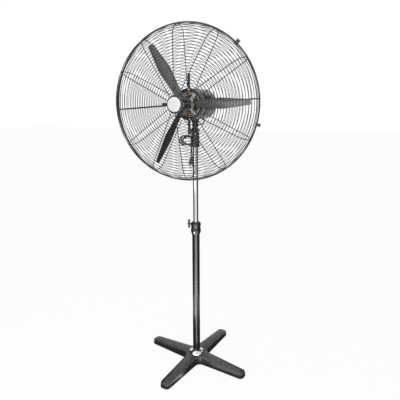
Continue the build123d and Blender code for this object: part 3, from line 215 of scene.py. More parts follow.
# Cards on the floor: width and length, place, turn
STRIP_TURN = CAMERA_TURN + STRIPE_TURN
for name, size, place, turn, material in (
    ("floor_strip_near", (0.13, 0.24), round_pole(0.3, STRIPE_TURN, 0.003), STRIP_TURN, FLOOR_STRIP),
    ("floor_strip_far", (0.32, 0.32), round_pole(0.58, STRIPE_TURN, 0.003), STRIP_TURN, FLOOR_STRIP),
    ("reflector", (1.3, 1.1), (0.3, -1.05, 0.004), 0, FLOOR_REFLECTOR),
    ("floor_card", (0.95, 0.95), (0, 0, 0.001), CAMERA_TURN, DARK_CARD),
):
    reflection_card(name, size, place, (0, 0, turn), material)


def softbox(name, place, target, size, watts):
    """A rectangular lamp that faces a point on the fan."""
    lamp_data = bpy.data.lights.new(name, "AREA")
    lamp_data.shape = "RECTANGLE"
    lamp_data.size = size[0]
    lamp_data.size_y = size[1]
    lamp_data.energy = watts
    lamp = bpy.data.objects.new(name, lamp_data)
    lamp.location = place
    lamp.rotation_euler = (Vector(target) - Vector(place)).to_track_quat("-Z", "Y").to_euler()
    scene.collection.objects.link(lamp)


softbox("key_softbox", place=(1.3, -2.1, 2.9), target=(0, 0, 1.4), size=(1.6, 1.6), watts=24)
softbox("front_softbox", place=(-0.6, -3.0, 1.6), target=(0, 0, 1.0), size=(0.8, 2.2), watts=18)
softbox("top_softbox", place=(-0.4, -0.4, 3.8), target=(0, 0, 0.6), size=(1.8, 1.8), watts=28)

# Cross base: black enamelled iron casting, hollow below, with two ridges along each leg.
# Every edge is softened as the mould and the enamel leave it, and drawn lighter where it stands proud:
# partly rubbed wear, partly a painted highlight.
MM = 0.001
BASE_EDGE = 1.8 * MM
MERGE_GAP = 0.02 * MM
FLAT_ANGLE = 1.0
SMOOTH_MARGIN = 12
BUMP_DEPTH = 0.5 * MM
COAT_ROUGHNESS = 0.12
# Edge colour: the coat's colour made lighter by this share, partly rubbed wear and partly a painted
# highlight along the edges.
WORN_AND_HIGHLIT_LIGHTER = 1.6
RUBBED_SMOOTHER = 0.8
EDGE_PATCHES = 60.0


def new_tree(name, kind, inputs, outputs):
    """A node tree with its sockets, a maker of nodes for it, and what its inputs give."""
    tree = bpy.data.node_groups.new(name, kind)
    for side, sockets in (("INPUT", inputs), ("OUTPUT", outputs)):
        for label, socket in sockets.items():
            tree.interface.new_socket(label, in_out=side, socket_type="NodeSocket" + socket)
    make = node_maker(tree)
    return tree, make, make("NodeGroupInput").outputs


def coat_texture():
    """Shader group: broad cloudy change of colour, change of roughness and a fine grain height."""
    group, make, given = new_tree(
        "coat_texture",
        "ShaderNodeTree",
        {
            "Colour": "Color",
            "Second Colour": "Color",
            "Cloud Scale": "Float",
            "Grain Scale": "Float",
            "Roughness": "Float",
            "Roughness Spread": "Float",
        },
        {"Colour": "Color", "Roughness": "Float", "Height": "Float"},
    )
    place = make("ShaderNodeTexCoord").outputs["Object"]
    cloud = make("ShaderNodeTexNoise", {"Vector": place, "Scale": given["Cloud Scale"]}, {"Detail": 6})
    grain = make("ShaderNodeTexNoise", {"Vector": place, "Scale": given["Grain Scale"]}, {"Detail": 3})
    colours = {"Factor": cloud, "A": given["Colour"], "B": given["Second Colour"]}
    tint = make("ShaderNodeMix", colours, data_type="RGBA")
    ends = {0: given["Roughness"], 1: given["Roughness Spread"]}
    low = make("ShaderNodeMath", ends, operation="SUBTRACT")
    high = make("ShaderNodeMath", ends, operation="ADD")
    spread = make(
        "ShaderNodeMapRange",
        {"Value": cloud, "To Min": low, "To Max": high},
        {"From Min": 0.3, "From Max": 0.7},
    )
    make("NodeGroupOutput", {"Colour": tint, "Roughness": spread, "Height": grain})
    return group


def edge_wear_and_highlight():
    """Shader group: lighter colour and smoother roughness along the edges that a piece marks in its
    attribute, partly rubbed wear and partly a painted highlight.
    """
    group, make, given = new_tree(
        "edge_wear_and_highlight",
        "ShaderNodeTree",
        {
            "Colour": "Color",
            "Rubbed Colour": "Color",
            "Roughness": "Float",
            "Rubbed Roughness": "Float",
            "Patch Scale": "Float",
        },
        {"Colour": "Color", "Roughness": "Float"},
    )
    marked = make("ShaderNodeAttribute", attribute_name="edge").outputs["Fac"]
    place = make("ShaderNodeTexCoord").outputs["Object"]
    patch = make("ShaderNodeTexNoise", {"Vector": place, "Scale": given["Patch Scale"]}, {"Detail": 4})
    uneven = make(
        "ShaderNodeMapRange", {"Value": patch}, {"From Min": 0.35, "From Max": 0.6, "To Min": 0.45}
    )
    amount = make("ShaderNodeMath", {0: marked, 1: uneven}, operation="MULTIPLY")
    colours = {"Factor": amount, "A": given["Colour"], "B": given["Rubbed Colour"]}
    tint = make("ShaderNodeMix", colours, data_type="RGBA")
    gloss = {"Factor": amount, "A": given["Roughness"], "B": given["Rubbed Roughness"]}
    polish = make("ShaderNodeMix", gloss)
    make("NodeGroupOutput", {"Colour": tint, "Roughness": polish})
    return group


COAT = coat_texture()
WEAR_AND_HIGHLIGHT = edge_wear_and_highlight()


def coated(
    name, colour, second, roughness, spread=0.06, cloud=9.0, grain=900.0,
    bump=0.05, metallic=0.0, coat=0.0, rubbed_and_highlight=None,
):
    """A painted, moulded or plated finish made from the coat texture, with its edges lighter: partly
    rubbed wear, partly a painted highlight.
    """
    material = bpy.data.materials.new(name)
    material.use_nodes = True
    make = node_maker(material.node_tree)
    texture = make(
        "ShaderNodeGroup",
        None,
        {
            "Colour": (*colour, 1),
            "Second Colour": (*second, 1),
            "Cloud Scale": cloud,
            "Grain Scale": grain,
            "Roughness": roughness,
            "Roughness Spread": spread,
        },
        node_tree=COAT,
    ).outputs
    worn_and_highlit = rubbed_and_highlight or [WORN_AND_HIGHLIT_LIGHTER * share for share in colour]
    wear = make(
        "ShaderNodeGroup",
        {"Colour": texture["Colour"], "Roughness": texture["Roughness"]},
        {
            "Rubbed Colour": (*worn_and_highlit, 1),
            "Rubbed Roughness": RUBBED_SMOOTHER * roughness,
            "Patch Scale": EDGE_PATCHES,
        },
        node_tree=WEAR_AND_HIGHLIGHT,
    ).outputs
    depth = {"Strength": bump, "Distance": BUMP_DEPTH}
    relief = make("ShaderNodeBump", {"Height": texture["Height"]}, depth)
    fed(
        material.node_tree.nodes["Principled BSDF"],
        {"Base Color": wear["Colour"], "Roughness": wear["Roughness"], "Normal": relief},
        {"Metallic": metallic, "Coat Weight": coat, "Coat Roughness": COAT_ROUGHNESS},
    )
    return material


def join_body(piece, body, replaced):
    """A finished object rides on its body and stands for its CAD nodes."""
    scene.collection.objects.link(piece)
    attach(piece, body)
    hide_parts(*replaced)
    return piece


def place_piece(name, mesh, material, body, replaced):
    """A finished mesh becomes a piece of one material."""
    mesh.materials.clear()
    mesh.materials.append(material)
    return join_body(bpy.data.objects.new(name, mesh), body, replaced)


def working(mesh):
    """A passing object that holds a mesh while its modifiers run."""
    work = bpy.data.objects.new("work", mesh)
    scene.collection.objects.link(work)
    return work


def baked(work):
    """The evaluated mesh of a working object, which is then removed."""
    graph = bpy.context.evaluated_depsgraph_get()
    mesh = bpy.data.meshes.new_from_object(work.evaluated_get(graph))
    bpy.data.objects.remove(work)
    return mesh


def settled(work, smooth_angle=40):
    """The evaluated mesh of a working object, smooth except at sharp edges."""
    mesh = baked(work)
    mesh.shade_smooth()
    mesh.set_sharp_from_angle(angle=math.radians(smooth_angle))
    return mesh


def round_edges(work, width, segments, keep_angle):
    """Round the sharp edges and give the rounds the second of two empty slots, to tell them apart."""
    for slot in range(2):
        work.data.materials.append(None)
    bevel = work.modifiers.new("edges", "BEVEL")
    bevel.width = width
    bevel.segments = segments
    bevel.limit_method = "ANGLE"
    bevel.angle_limit = math.radians(keep_angle)
    bevel.material = 1


def edge_marked(mesh):
    """Write the rounded edges into the attribute that the edge wear and painted highlight read."""
    mark = mesh.attributes.new("edge", "FLOAT", "FACE")
    for face in mesh.polygons:
        mark.data[face.index].value = float(face.material_index)
        face.material_index = 0
    return mesh


def softened(node, width, segments=2, keep_angle=28):
    """A copy of a CAD node with its doubles merged and its edges rounded."""
    copy = bmesh.new()
    copy.from_mesh(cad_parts[node].data)
    bmesh.ops.remove_doubles(copy, verts=copy.verts, dist=MERGE_GAP)
    flat = math.radians(FLAT_ANGLE)
    bmesh.ops.dissolve_limit(copy, angle_limit=flat, verts=copy.verts, edges=copy.edges)
    mesh = bpy.data.meshes.new(node + "_softened")
    copy.to_mesh(mesh)
    copy.free()
    work = working(mesh)
    round_edges(work, width, segments, keep_angle)
    return edge_marked(settled(work, keep_angle + SMOOTH_MARGIN))


def softened_piece(name, node, width, material, body, segments=2):
    """A CAD node with its edges rounded, as a piece in that node's stead."""
    return place_piece(name, softened(node, width, segments), material, body, [node])


# The pale edge colour of the base's enamel is mostly a painted highlight: light lines drawn along the
# edges of the legs, with some rubbed wear.
ENAMEL = coated(
    "cast_enamel",
    (0.018, 0.018, 0.019),
    (0.026, 0.026, 0.027),
    0.36,
    bump=0.16,
    grain=700,
    coat=0.1,
    rubbed_and_highlight=(0.42, 0.42, 0.43),
)
softened_piece("base_cross", "base_casting", BASE_EDGE, ENAMEL, "base")

# Feet: black rubber pads pressed on under the leg tips.
# Their edges are rounded as the mould leaves them.
FOOT_EDGE = 1.5 * MM
RUBBER = coated("black_rubber", (0.018, 0.018, 0.018), (0.03, 0.03, 0.03), 0.5, bump=0.15, grain=1500)
softened_piece("rubber_feet", "base_feet", FOOT_EDGE, RUBBER, "base")

# Flange at the foot of the pole: pressed steel ring, bright chromed.
# It sits on the base and hides the joint with the tube.
TURN_SIDES = 96
TURN_SMOOTH = 38


def on_pole(radius, height, angle):
    """A point at an angle round the pole."""
    return (radius * math.cos(angle), radius * math.sin(angle), height)


def turned(name, profile, spot=on_pole, sides=TURN_SIDES, closed=False):
    """A mesh turned from a profile of (radius, distance along the axis) points."""
    work = bmesh.new()
    rows = []
    for radius, along in profile:
        rows.append([work.verts.new(spot(radius, along, 2 * math.pi * k / sides)) for k in range(sides)])
    pairs = list(zip(rows, rows[1:]))
    if closed:
        pairs.append((rows[-1], rows[0]))
    for low, high in pairs:
        for k in range(sides):
            work.faces.new((low[k], low[(k + 1) % sides], high[(k + 1) % sides], high[k]))
    bmesh.ops.remove_doubles(work, verts=work.verts, dist=1e-6)
    bmesh.ops.recalc_face_normals(work, faces=work.faces)
    mesh = bpy.data.meshes.new(name)
    work.to_mesh(mesh)
    work.free()
    mesh.shade_smooth()
    mesh.set_sharp_from_angle(angle=math.radians(TURN_SMOOTH))
    return mesh


def smooth_line(points, steps=6):
    """Points on a smooth curve through a few given ones."""
    found = []
    full = [points[0]] + list(points) + [points[-1]]
    for a, b, c, d in zip(full, full[1:], full[2:], full[3:]):
        for i in range(steps):
            t = i / steps
            spot = []
            for p, q, r, s in zip(a, b, c, d):
                squared = 2 * p - 5 * q + 4 * r - s
                cubed = 3 * q - p - 3 * r + s
                spot.append(0.5 * (2 * q + (r - p) * t + squared * t * t + cubed * t**3))
            found.append(tuple(spot))
    found.append(points[-1])
    return found


CHROME = coated(
    "bright_chrome",
    (0.78, 0.79, 0.81),
    (0.7, 0.71, 0.73),
    0.1,
    spread=0.05,
    cloud=6,
    bump=0.02,
    metallic=1.0,
)
flange_low, flange_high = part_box("base_flange")
FLANGE_R = flange_high.x
FLANGE_BASE = flange_low.z
FLANGE_TOP = flange_high.z
TUBE_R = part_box("lower_tube")[1].x
TUBE_GAP = 0.05 * MM
FLANGE_RISE = FLANGE_TOP - FLANGE_BASE
# Outside of the ring from its edge up to the tube: radius, height
flange_dome = (
    (FLANGE_R, FLANGE_BASE + 0.1 * FLANGE_RISE),
    (FLANGE_R - 1.5 * MM, FLANGE_BASE + 0.26 * FLANGE_RISE),
    (FLANGE_R - 8 * MM, FLANGE_BASE + 0.5 * FLANGE_RISE),
    (FLANGE_R - 16 * MM, FLANGE_BASE + 0.72 * FLANGE_RISE),
    (TUBE_R + 2.5 * MM, FLANGE_TOP),
)
flange_profile = [(TUBE_R + TUBE_GAP, FLANGE_BASE), (FLANGE_R, FLANGE_BASE)]
flange_profile += smooth_line(flange_dome)
flange_profile += [(TUBE_R + TUBE_GAP, FLANGE_TOP)]
flange_mesh = turned("pole_flange", flange_profile, closed=True)
place_piece("pole_flange", flange_mesh, CHROME, "base", ["base_flange"])

# Lower tube: drawn steel, black gloss enamel, bolted down through the base.
# Its end plug, washer and bolt stay hidden under the casting.
LOWER_WALL = 2 * MM
LOWER_LIP = 0.5 * MM
HIDDEN_EDGE = 0.4 * MM
GLOSS = coated(
    "gloss_enamel", (0.014, 0.014, 0.015), (0.02, 0.02, 0.021), 0.22, bump=0.06, grain=400, coat=0.3
)
ZINC = coated("zinc_steel", (0.5, 0.5, 0.51), (0.42, 0.42, 0.44), 0.32, spread=0.1, cloud=60, metallic=1.0)
MOULDED = coated(
    "moulded_black", (0.016, 0.016, 0.017), (0.024, 0.024, 0.025), 0.3, bump=0.12, grain=1200, coat=0.15
)


def rounded(points, bend, steps=4):
    """A profile with each inner corner rounded by a short curve."""
    found = [points[0]]
    for before, corner, after in zip(points, points[1:], points[2:]):
        corner_spot = Vector(corner)
        back = Vector(before) - corner_spot
        ahead = Vector(after) - corner_spot
        reach = min(bend, 0.45 * back.length, 0.45 * ahead.length)
        start = corner_spot + back.normalized() * reach
        end = corner_spot + ahead.normalized() * reach
        for i in range(steps + 1):
            t = i / steps
            found.append(tuple((1 - t) ** 2 * start + 2 * t * (1 - t) * corner_spot + t * t * end))
    found.append(points[-1])
    return found


def tube_profile(node, wall, edge):
    """Profile of a tube as long and wide as its CAD node, with its lips rounded."""
    low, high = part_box(node)
    outer = high.x
    inner = outer - wall
    lip = [(inner, low.z), (inner, high.z), (outer, high.z), (outer, low.z), (inner, low.z)]
    return rounded(lip, edge)


lower_mesh = turned("lower_pole", tube_profile("lower_tube", LOWER_WALL, LOWER_LIP))
place_piece("lower_pole", lower_mesh, GLOSS, "base", ["lower_tube"])
for node, finish, slot in (
    ("pole_plug", MOULDED, "black_plastic"),
    ("pole_washer", ZINC, "steel"),
    ("pole_bolt", ZINC, "steel"),
):
    softened_piece(node + "_piece", node, HIDDEN_EDGE, finish, "base")

# Height collar: black moulded sleeve, swelling at the screw and again at the clamp.
# A chromed pan-head screw pins it to the lower tube, and the bush inside it guides the upper tube.
collar_low, collar_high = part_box("height_collar")
COLLAR_BASE = collar_low.z
COLLAR_TOP = collar_high.z
COLLAR_R = collar_high.y
COLLAR_WAIST = COLLAR_R - 3 * MM
BUSH_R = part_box("collar_bush")[1].x
LOWER_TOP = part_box("lower_tube")[1].z
BUSH_EDGE = 0.4 * MM
SCREW_EDGE = 0.8 * MM
collar_height = COLLAR_TOP - COLLAR_BASE

# Outside of the sleeve from its foot to its mouth: radius, height
collar_outside = smooth_line(
    [
        (TUBE_R + 1.5 * MM, COLLAR_BASE),
        (TUBE_R + 4.5 * MM, COLLAR_BASE + 0.12 * collar_height),
        (COLLAR_R - 0.3 * MM, COLLAR_BASE + 0.32 * collar_height),
        (COLLAR_WAIST, COLLAR_BASE + 0.54 * collar_height),
        (COLLAR_R - 1.0 * MM, COLLAR_BASE + 0.78 * collar_height),
        (COLLAR_R - 2.4 * MM, COLLAR_BASE + 0.9 * collar_height),
        (BUSH_R + 2 * MM, COLLAR_TOP),
    ]
)
collar_profile = collar_outside + [
    (BUSH_R + TUBE_GAP, COLLAR_TOP),
    (BUSH_R + TUBE_GAP, LOWER_TOP + TUBE_GAP),
    (TUBE_R + TUBE_GAP, LOWER_TOP + TUBE_GAP),
    (TUBE_R + TUBE_GAP, COLLAR_BASE),
]
collar_mesh = turned("clamp_collar", collar_profile, closed=True)
place_piece("clamp_collar", collar_mesh, MOULDED, "base", ["height_collar"])
softened_piece("slide_bush", "collar_bush", BUSH_EDGE, MOULDED, "base")
softened_piece("collar_screw_piece", "collar_screw", SCREW_EDGE, CHROME, "base")

# Wing screw: black moulded wings on a dark steel bolt, turned by hand to hold the upper tube.
# The two lobes are flattened pads with a round hub between them.
BOLT_LOW, BOLT_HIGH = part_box("clamp_bolt")
WING_LOW, WING_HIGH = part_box("clamp_handle")
CLAMP_Z = (BOLT_LOW.z + BOLT_HIGH.z) / 2
BOLT_R = (BOLT_HIGH.z - BOLT_LOW.z) / 2
BOLT_EDGE = 0.5 * MM
LOBE_THICK = 10 * MM
BAR_THICK = 8 * MM
SKIN_GRAIN = 0.7 * MM
# Half widths and half lengths as shares of the wing's width and half span, and the hub's of the bolt
LOBE_WIDTH = 0.44
LOBE_LENGTH = 0.36
BAR_WIDTH = 0.34
BAR_LENGTH = 0.5
HUB_ROOT = 1.9
HUB_FACE = 1.7


def wing_mesh():
    """A round hub and two oval lobes, joined into one closed skin."""
    work = bmesh.new()
    centre_x = (WING_LOW.x + WING_HIGH.x) / 2
    wide = WING_HIGH.x - WING_LOW.x
    span = (WING_HIGH.z - WING_LOW.z) / 2
    lobe_half = LOBE_LENGTH * span
    for side in (-1, 1):
        shape = Matrix.Translation((centre_x, 0, CLAMP_Z + side * (span - lobe_half)))
        shape = shape @ Matrix.Diagonal((wide * LOBE_WIDTH, LOBE_THICK / 2, lobe_half, 1))
        bmesh.ops.create_uvsphere(work, u_segments=32, v_segments=20, radius=1.0, matrix=shape)
    hub = Matrix.Translation((centre_x, 0, CLAMP_Z)) @ Matrix.Rotation(math.pi / 2, 4, "Y")
    bmesh.ops.create_cone(
        work,
        cap_ends=True,
        segments=32,
        radius1=BOLT_R * HUB_ROOT,
        radius2=BOLT_R * HUB_FACE,
        depth=wide,
        matrix=hub,
    )
    bar = Matrix.Translation((centre_x, 0, CLAMP_Z))
    bar = bar @ Matrix.Diagonal((wide * BAR_WIDTH, BAR_THICK / 2, span * BAR_LENGTH, 1))
    bmesh.ops.create_uvsphere(work, u_segments=24, v_segments=16, radius=1.0, matrix=bar)
    mesh = bpy.data.meshes.new("wing_screw")
    work.to_mesh(mesh)
    work.free()
    solid = working(mesh)
    skin = solid.modifiers.new("skin", "REMESH")
    skin.mode = "VOXEL"
    skin.voxel_size = SKIN_GRAIN
    ease = solid.modifiers.new("ease", "SMOOTH")
    ease.iterations = 6
    return settled(solid, 60)


DARK_STEEL = coated("dark_steel", (0.06, 0.06, 0.062), (0.04, 0.04, 0.042), 0.34, cloud=70, metallic=1.0)
place_piece("wing_screw", wing_mesh(), MOULDED, "clamp", ["clamp_handle"])
softened_piece("wing_bolt", "clamp_bolt", BOLT_EDGE, DARK_STEEL, "clamp")

# Upper tube: thin steel, bright chromed, sliding in the lower one.
# A plastic ring at its lower end keeps it central.
UPPER_WALL = 1.5 * MM
UPPER_LIP = 0.4 * MM
GUIDE_EDGE = 0.5 * MM
upper_mesh = turned("upper_pole", tube_profile("upper_tube", UPPER_WALL, UPPER_LIP))
place_piece("upper_pole", upper_mesh, CHROME, "mast", ["upper_tube"])
softened_piece("guide_ring", "tube_guide", GUIDE_EDGE, MOULDED, "mast")

# Socket and neck: black enamelled castings, pinned together by the tilt bolt.
# The socket slips over the tube and is held by a screw from behind.
SOCKET_EDGE = 1.2 * MM
TILT_EDGE = 0.6 * MM
softened_piece("pole_head_socket", "pole_socket", SOCKET_EDGE, GLOSS, "mast")
softened_piece("tilt_neck", "neck_casting", SOCKET_EDGE, GLOSS, "neck")
for node in ("tilt_bolt", "tilt_nut", "socket_screw"):
    softened_piece(node + "_piece", node, TILT_EDGE, ZINC, "mast")

# Mains cord: black rubber flex, put away as a loose hank beside the socket.
# It leaves a moulded gland behind the socket, makes its loops inside a tie and hangs down to a moulded
# plug with two round plated pins.
CORD_R = 3.25 * MM
LOOPS = 4
LOOP_BEND = 23 * MM
LOOP_RUN = 22 * MM
LOOP_PITCH = 12.8 * MM
LOOP_START = 4 * MM
LOOP_Z = 1369 * MM
LOOP_RIGHT = -50.95 * MM
LOOP_LEFT = LOOP_RIGHT - LOOP_RUN
ENTRY_BEND = 14.5 * MM
ENTRY_RUN = 3 * MM
GLAND_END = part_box("cord_gland")[1].y
PLUG_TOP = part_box("plug_body")[1].z
# Heights of each loop's upper run and lower run against the even hank, left end then right end
UPPER_LIE = ((2, 4), (-10, 5), (4, -4), (-3, -6))
LOWER_LIE = ((-2, 2), (9, -5), (-4, 4), (0, 0))
TURN_STEP = 30
TURN_SWELL = 1 / math.cos(math.radians(TURN_STEP / 2)) ** 2


def turn_points(x, y, low, high, first, last):
    """Control points of a turn between two heights in a plane of constant y."""
    steps = round(abs(last - first) / TURN_STEP)
    middle = (low + high) / 2
    reach = (high - low) / 2 * TURN_SWELL
    found = []
    for i in range(steps):
        angle = math.radians(first + (last - first) * (i + 0.5) / steps)
        found.append((x + reach * math.cos(angle), y, middle + reach * math.sin(angle)))
    return found


def run_points(start, end, y, move, z_start, z_end):
    """Control points of a run that crosses to the next plane."""
    found = []
    for share in (0.2, 0.4, 0.6, 0.8):
        ease = 0.5 - 0.5 * math.cos(math.pi * share)
        found.append((start + (end - start) * share, y + move * ease, z_start + (z_end - z_start) * ease))
    return found


def cord_route():
    """Control points from the plug up through the loops to the gland."""
    tail_x = LOOP_RIGHT + LOOP_BEND
    top = LOOP_Z + LOOP_BEND
    low = LOOP_Z - LOOP_BEND
    half = LOOP_PITCH / 2
    upper = [[top + lie * MM for lie in ends] for ends in UPPER_LIE]
    lower = [[low + lie * MM for lie in ends] for ends in LOWER_LIE]
    lower[-1][1] = low
    tail = LOOP_Z - PLUG_TOP
    route = [(tail_x, LOOP_START, PLUG_TOP + share * tail) for share in (0, 0.15, 0.5, 0.85)]
    route += turn_points(LOOP_RIGHT, LOOP_START, low, upper[0][1], 0, 90)
    for k in range(LOOPS):
        y = LOOP_START + LOOP_PITCH * k
        route += run_points(LOOP_RIGHT, LOOP_LEFT, y, half, upper[k][1], upper[k][0])
        route += turn_points(LOOP_LEFT, y + half, lower[k][0], upper[k][0], 90, 270)
        route += run_points(LOOP_LEFT, LOOP_RIGHT, y + half, half, lower[k][0], lower[k][1])
        if k < LOOPS - 1:
            route += turn_points(LOOP_RIGHT, y + LOOP_PITCH, lower[k][1], upper[k + 1][1], -90, 90)
    last = LOOP_START + LOOP_PITCH * LOOPS
    route += [(LOOP_RIGHT, last, low), (LOOP_RIGHT * 0.6, last, low)]
    reach = ENTRY_BEND * TURN_SWELL
    middle = last - ENTRY_BEND
    for angle in (75, 45, 15):
        turn = math.radians(angle)
        route.append((reach * math.cos(turn) - ENTRY_BEND, middle + reach * math.sin(turn), low))
    route += [(0, GLAND_END + ENTRY_RUN, low), (0, GLAND_END, low)]
    return route


def flex(name, points, radius, body, node):
    """A round rubber cord on one smooth spline, riding on a body in its CAD node's stead."""
    curve = bpy.data.curves.new(name, "CURVE")
    curve.dimensions = "3D"
    curve.bevel_depth = radius
    curve.bevel_resolution = 5
    curve.use_fill_caps = True
    spline = curve.splines.new("NURBS")
    spline.points.add(len(points) - 1)
    for point, spot in zip(spline.points, points):
        point.co = (*spot, 1)
    spline.order_u = 3
    spline.use_endpoint_u = True
    spline.resolution_u = 6
    curve.materials.append(RUBBER)
    return join_body(bpy.data.objects.new(name, curve), body, [node])


cord_points = list(reversed(cord_route()))
mains_cord = flex("mains_cord", cord_points, CORD_R, "mast", "cord")
GLAND_EDGE = 0.8 * MM
TIE_EDGE = 0.4 * MM
PLUG_EDGE = 2.2 * MM
PIN_EDGE = 0.6 * MM
BRASS = coated("plated_brass", (0.5, 0.48, 0.42), (0.42, 0.4, 0.35), 0.28, cloud=80, metallic=1.0)
softened_piece("gland", "cord_gland", GLAND_EDGE, RUBBER, "mast")
softened_piece("hank_tie", "cord_tie", TIE_EDGE, RUBBER, "mast")
plug = softened_piece("plug", "plug_body", PLUG_EDGE, MOULDED, "mast", segments=3)
pins = softened_piece("pins", "plug_pins", PIN_EDGE, BRASS, "mast")
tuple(cord_points[0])

# Motor: black enamelled barrel, a windowed grey front shield and a stepped rear cover.
# Copper end windings show through the windows, and two moulded knobs sit on the rear cover.
MOTOR_EDGE = 1.0 * MM
CASING = coated(
    "motor_enamel", (0.016, 0.016, 0.017), (0.022, 0.022, 0.023), 0.3, bump=0.05, grain=500, coat=0.15
)
GREY_CAST = coated(
    "grey_casting", (0.4, 0.4, 0.405), (0.31, 0.31, 0.315), 0.36, bump=0.12, grain=600, metallic=0.5
)
# The windings are coloured a pale bright gold, lighter than copper, so that they show as glints in the
# shade inside the housing: a painted highlight.
COPPER_WITH_PAINTED_GLINT = coated(
    "copper_wire_painted_glint", (1.0, 0.78, 0.45), (0.9, 0.58, 0.28), 0.3, cloud=120, bump=0.4, grain=1400, metallic=0.5
)
LAMINATED = coated("laminated_steel", (0.2, 0.2, 0.21), (0.12, 0.12, 0.13), 0.45, cloud=200, metallic=0.9)
for node, finish, body, slot in (
    ("motor_housing", CASING, "head", "black_alloy"),
    ("rear_cover", CASING, "head", "black_alloy"),
    ("front_shield", GREY_CAST, "head", "grey_casting"),
    ("windings", COPPER_WITH_PAINTED_GLINT, "head", "brass"),
    ("stator_core", LAMINATED, "head", "steel"),
    ("front_bearing", ZINC, "head", "steel"),
    ("rear_bearing", ZINC, "head", "steel"),
    ("pivot_pin", ZINC, "head", "steel"),
    ("speed_knob", MOULDED, "speed_control", "black_plastic"),
    ("oscillation_knob", MOULDED, "swing_control", "black_plastic"),
):
    softened_piece(node + "_piece", node, MOTOR_EDGE, finish, body)

# Motor lead: a short loop of black flex under the barrel, through two rubber grommets.
# It drops, crosses and climbs again in one easy curve.
LEAD_R = 2.5 * MM
LEAD_LEFT = -20 * MM
LEAD_RIGHT = 34 * MM
softened_piece("lead_grommets_piece", "lead_grommets", MOTOR_EDGE, RUBBER, "head")
lead_low, lead_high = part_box("motor_lead")
lead_y = (lead_low.y + lead_high.y) / 2
lead_floor = lead_low.z + LEAD_R
# Spots along the loop: place across, rise over its lowest run
lead_spots = (
    (LEAD_LEFT, 26 * MM),
    (LEAD_LEFT, 16 * MM),
    (LEAD_LEFT + 2 * MM, 4 * MM),
    (LEAD_LEFT + 14 * MM, -1 * MM),
    ((LEAD_LEFT + LEAD_RIGHT) / 2, 0),
    (LEAD_RIGHT - 14 * MM, -1 * MM),
    (LEAD_RIGHT - 2 * MM, 6 * MM),
    (LEAD_RIGHT, 20 * MM),
    (LEAD_RIGHT, 31 * MM),
)
lead_points = [(across, lead_y, lead_floor + rise) for across, rise in lead_spots]
motor_lead = flex("motor_flex", lead_points, LEAD_R, "head", "motor_lead")
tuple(lead_points[0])

# Guard bracket: a black steel ring with four flat straps, bolted on with the front shield.
# Four zinc hexagon bolts go through the straps and the shield into the barrel.
HUB_Z = (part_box("front_guard_rim")[0].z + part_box("front_guard_rim")[1].z) / 2
# Points on a domed head's outline, in radians from its top
DOME_ANGLES = (0.5, 0.9, 1.2)


def on_fan(radius, forward, angle):
    """A point at an angle round the fan's axis, clockwise from the top."""
    return (radius * math.sin(angle), -forward, HUB_Z + radius * math.cos(angle))


def head_shape(name, radius, height, shank_radius, shank, sides, dome):
    """A bolt, screw or rivet standing on z = 0: its head above and its shank below."""
    shoulder = height * (1 - dome)
    rise = height - shoulder
    profile = [(0, height)]
    profile += [(radius * math.sin(a), shoulder + rise * math.cos(a)) for a in DOME_ANGLES]
    profile += [(radius, shoulder * 0.8), (radius, 0)]
    profile += [(shank_radius, 0), (shank_radius, -shank), (0, -shank)]
    return turned(name, profile, sides=sides)


def fastener_tree():
    """Geometry nodes that set one head on every point, turned to the point's facing."""
    tree, make, given = new_tree(
        "fastener_set",
        "GeometryNodeTree",
        {"Geometry": "Geometry", "Head": "Object", "Material": "Material"},
        {"Geometry": "Geometry"},
    )
    head = make("GeometryNodeObjectInfo", {"Object": given["Head"]}).outputs["Geometry"]
    facing = make("GeometryNodeInputNamedAttribute", None, {"Name": "facing"}, data_type="FLOAT_VECTOR")
    turn = make("FunctionNodeAlignRotationToVector", {"Vector": facing}, axis="Z")
    placing = {"Points": given["Geometry"], "Instance": head, "Rotation": turn}
    placed = make("GeometryNodeInstanceOnPoints", placing)
    real = make("GeometryNodeRealizeInstances", {"Geometry": placed})
    painted = make("GeometryNodeSetMaterial", {"Geometry": real, "Material": given["Material"]})
    make("NodeGroupOutput", {"Geometry": painted})
    return tree


def set_inputs(modifier, values):
    """Give a geometry nodes modifier its inputs by the sockets' identifiers."""
    for item in modifier.node_group.interface.items_tree:
        if item.item_type == "SOCKET" and item.in_out == "INPUT" and item.name in values:
            modifier[item.identifier] = values[item.name]


FASTENER_SET = fastener_tree()


def fastener_piece(name, spots, head_mesh, material, body, replaced):
    """One piece that holds a head at each (place, facing) spot."""
    points = bpy.data.meshes.new(name)
    points.from_pydata([place for place, facing in spots], [], [])
    directions = points.attributes.new("facing", "FLOAT_VECTOR", "POINT")
    for item, (place, facing) in zip(directions.data, spots):
        item.vector = facing
    work = working(points)
    head = working(head_mesh)
    heads = work.modifiers.new("heads", "NODES")
    heads.node_group = FASTENER_SET
    set_inputs(heads, {"Head": head, "Material": material})
    mesh = baked(work)
    bpy.data.objects.remove(head)
    return place_piece(name, mesh, material, body, replaced)


STRAPS = 4
BOLT_CIRCLE = 73 * MM
FORWARD = (0, -1, 0)
BRACKET_FRONT = -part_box("guard_bracket")[0].y
softened_piece("guard_bracket_piece", "guard_bracket", MOTOR_EDGE, CASING, "head")
bolt_turns = [2 * math.pi * k / STRAPS for k in range(STRAPS)]
bolt_spots = [(on_fan(BOLT_CIRCLE, BRACKET_FRONT, turn), FORWARD) for turn in bolt_turns]
bolt_head = head_shape(
    "bolt_head", radius=6.2 * MM, height=4 * MM, shank_radius=3 * MM, shank=30 * MM, sides=6, dome=0.15
)
fastener_piece("bracket_bolt_set", bolt_spots, bolt_head, ZINC, "head", ["bracket_bolts"])

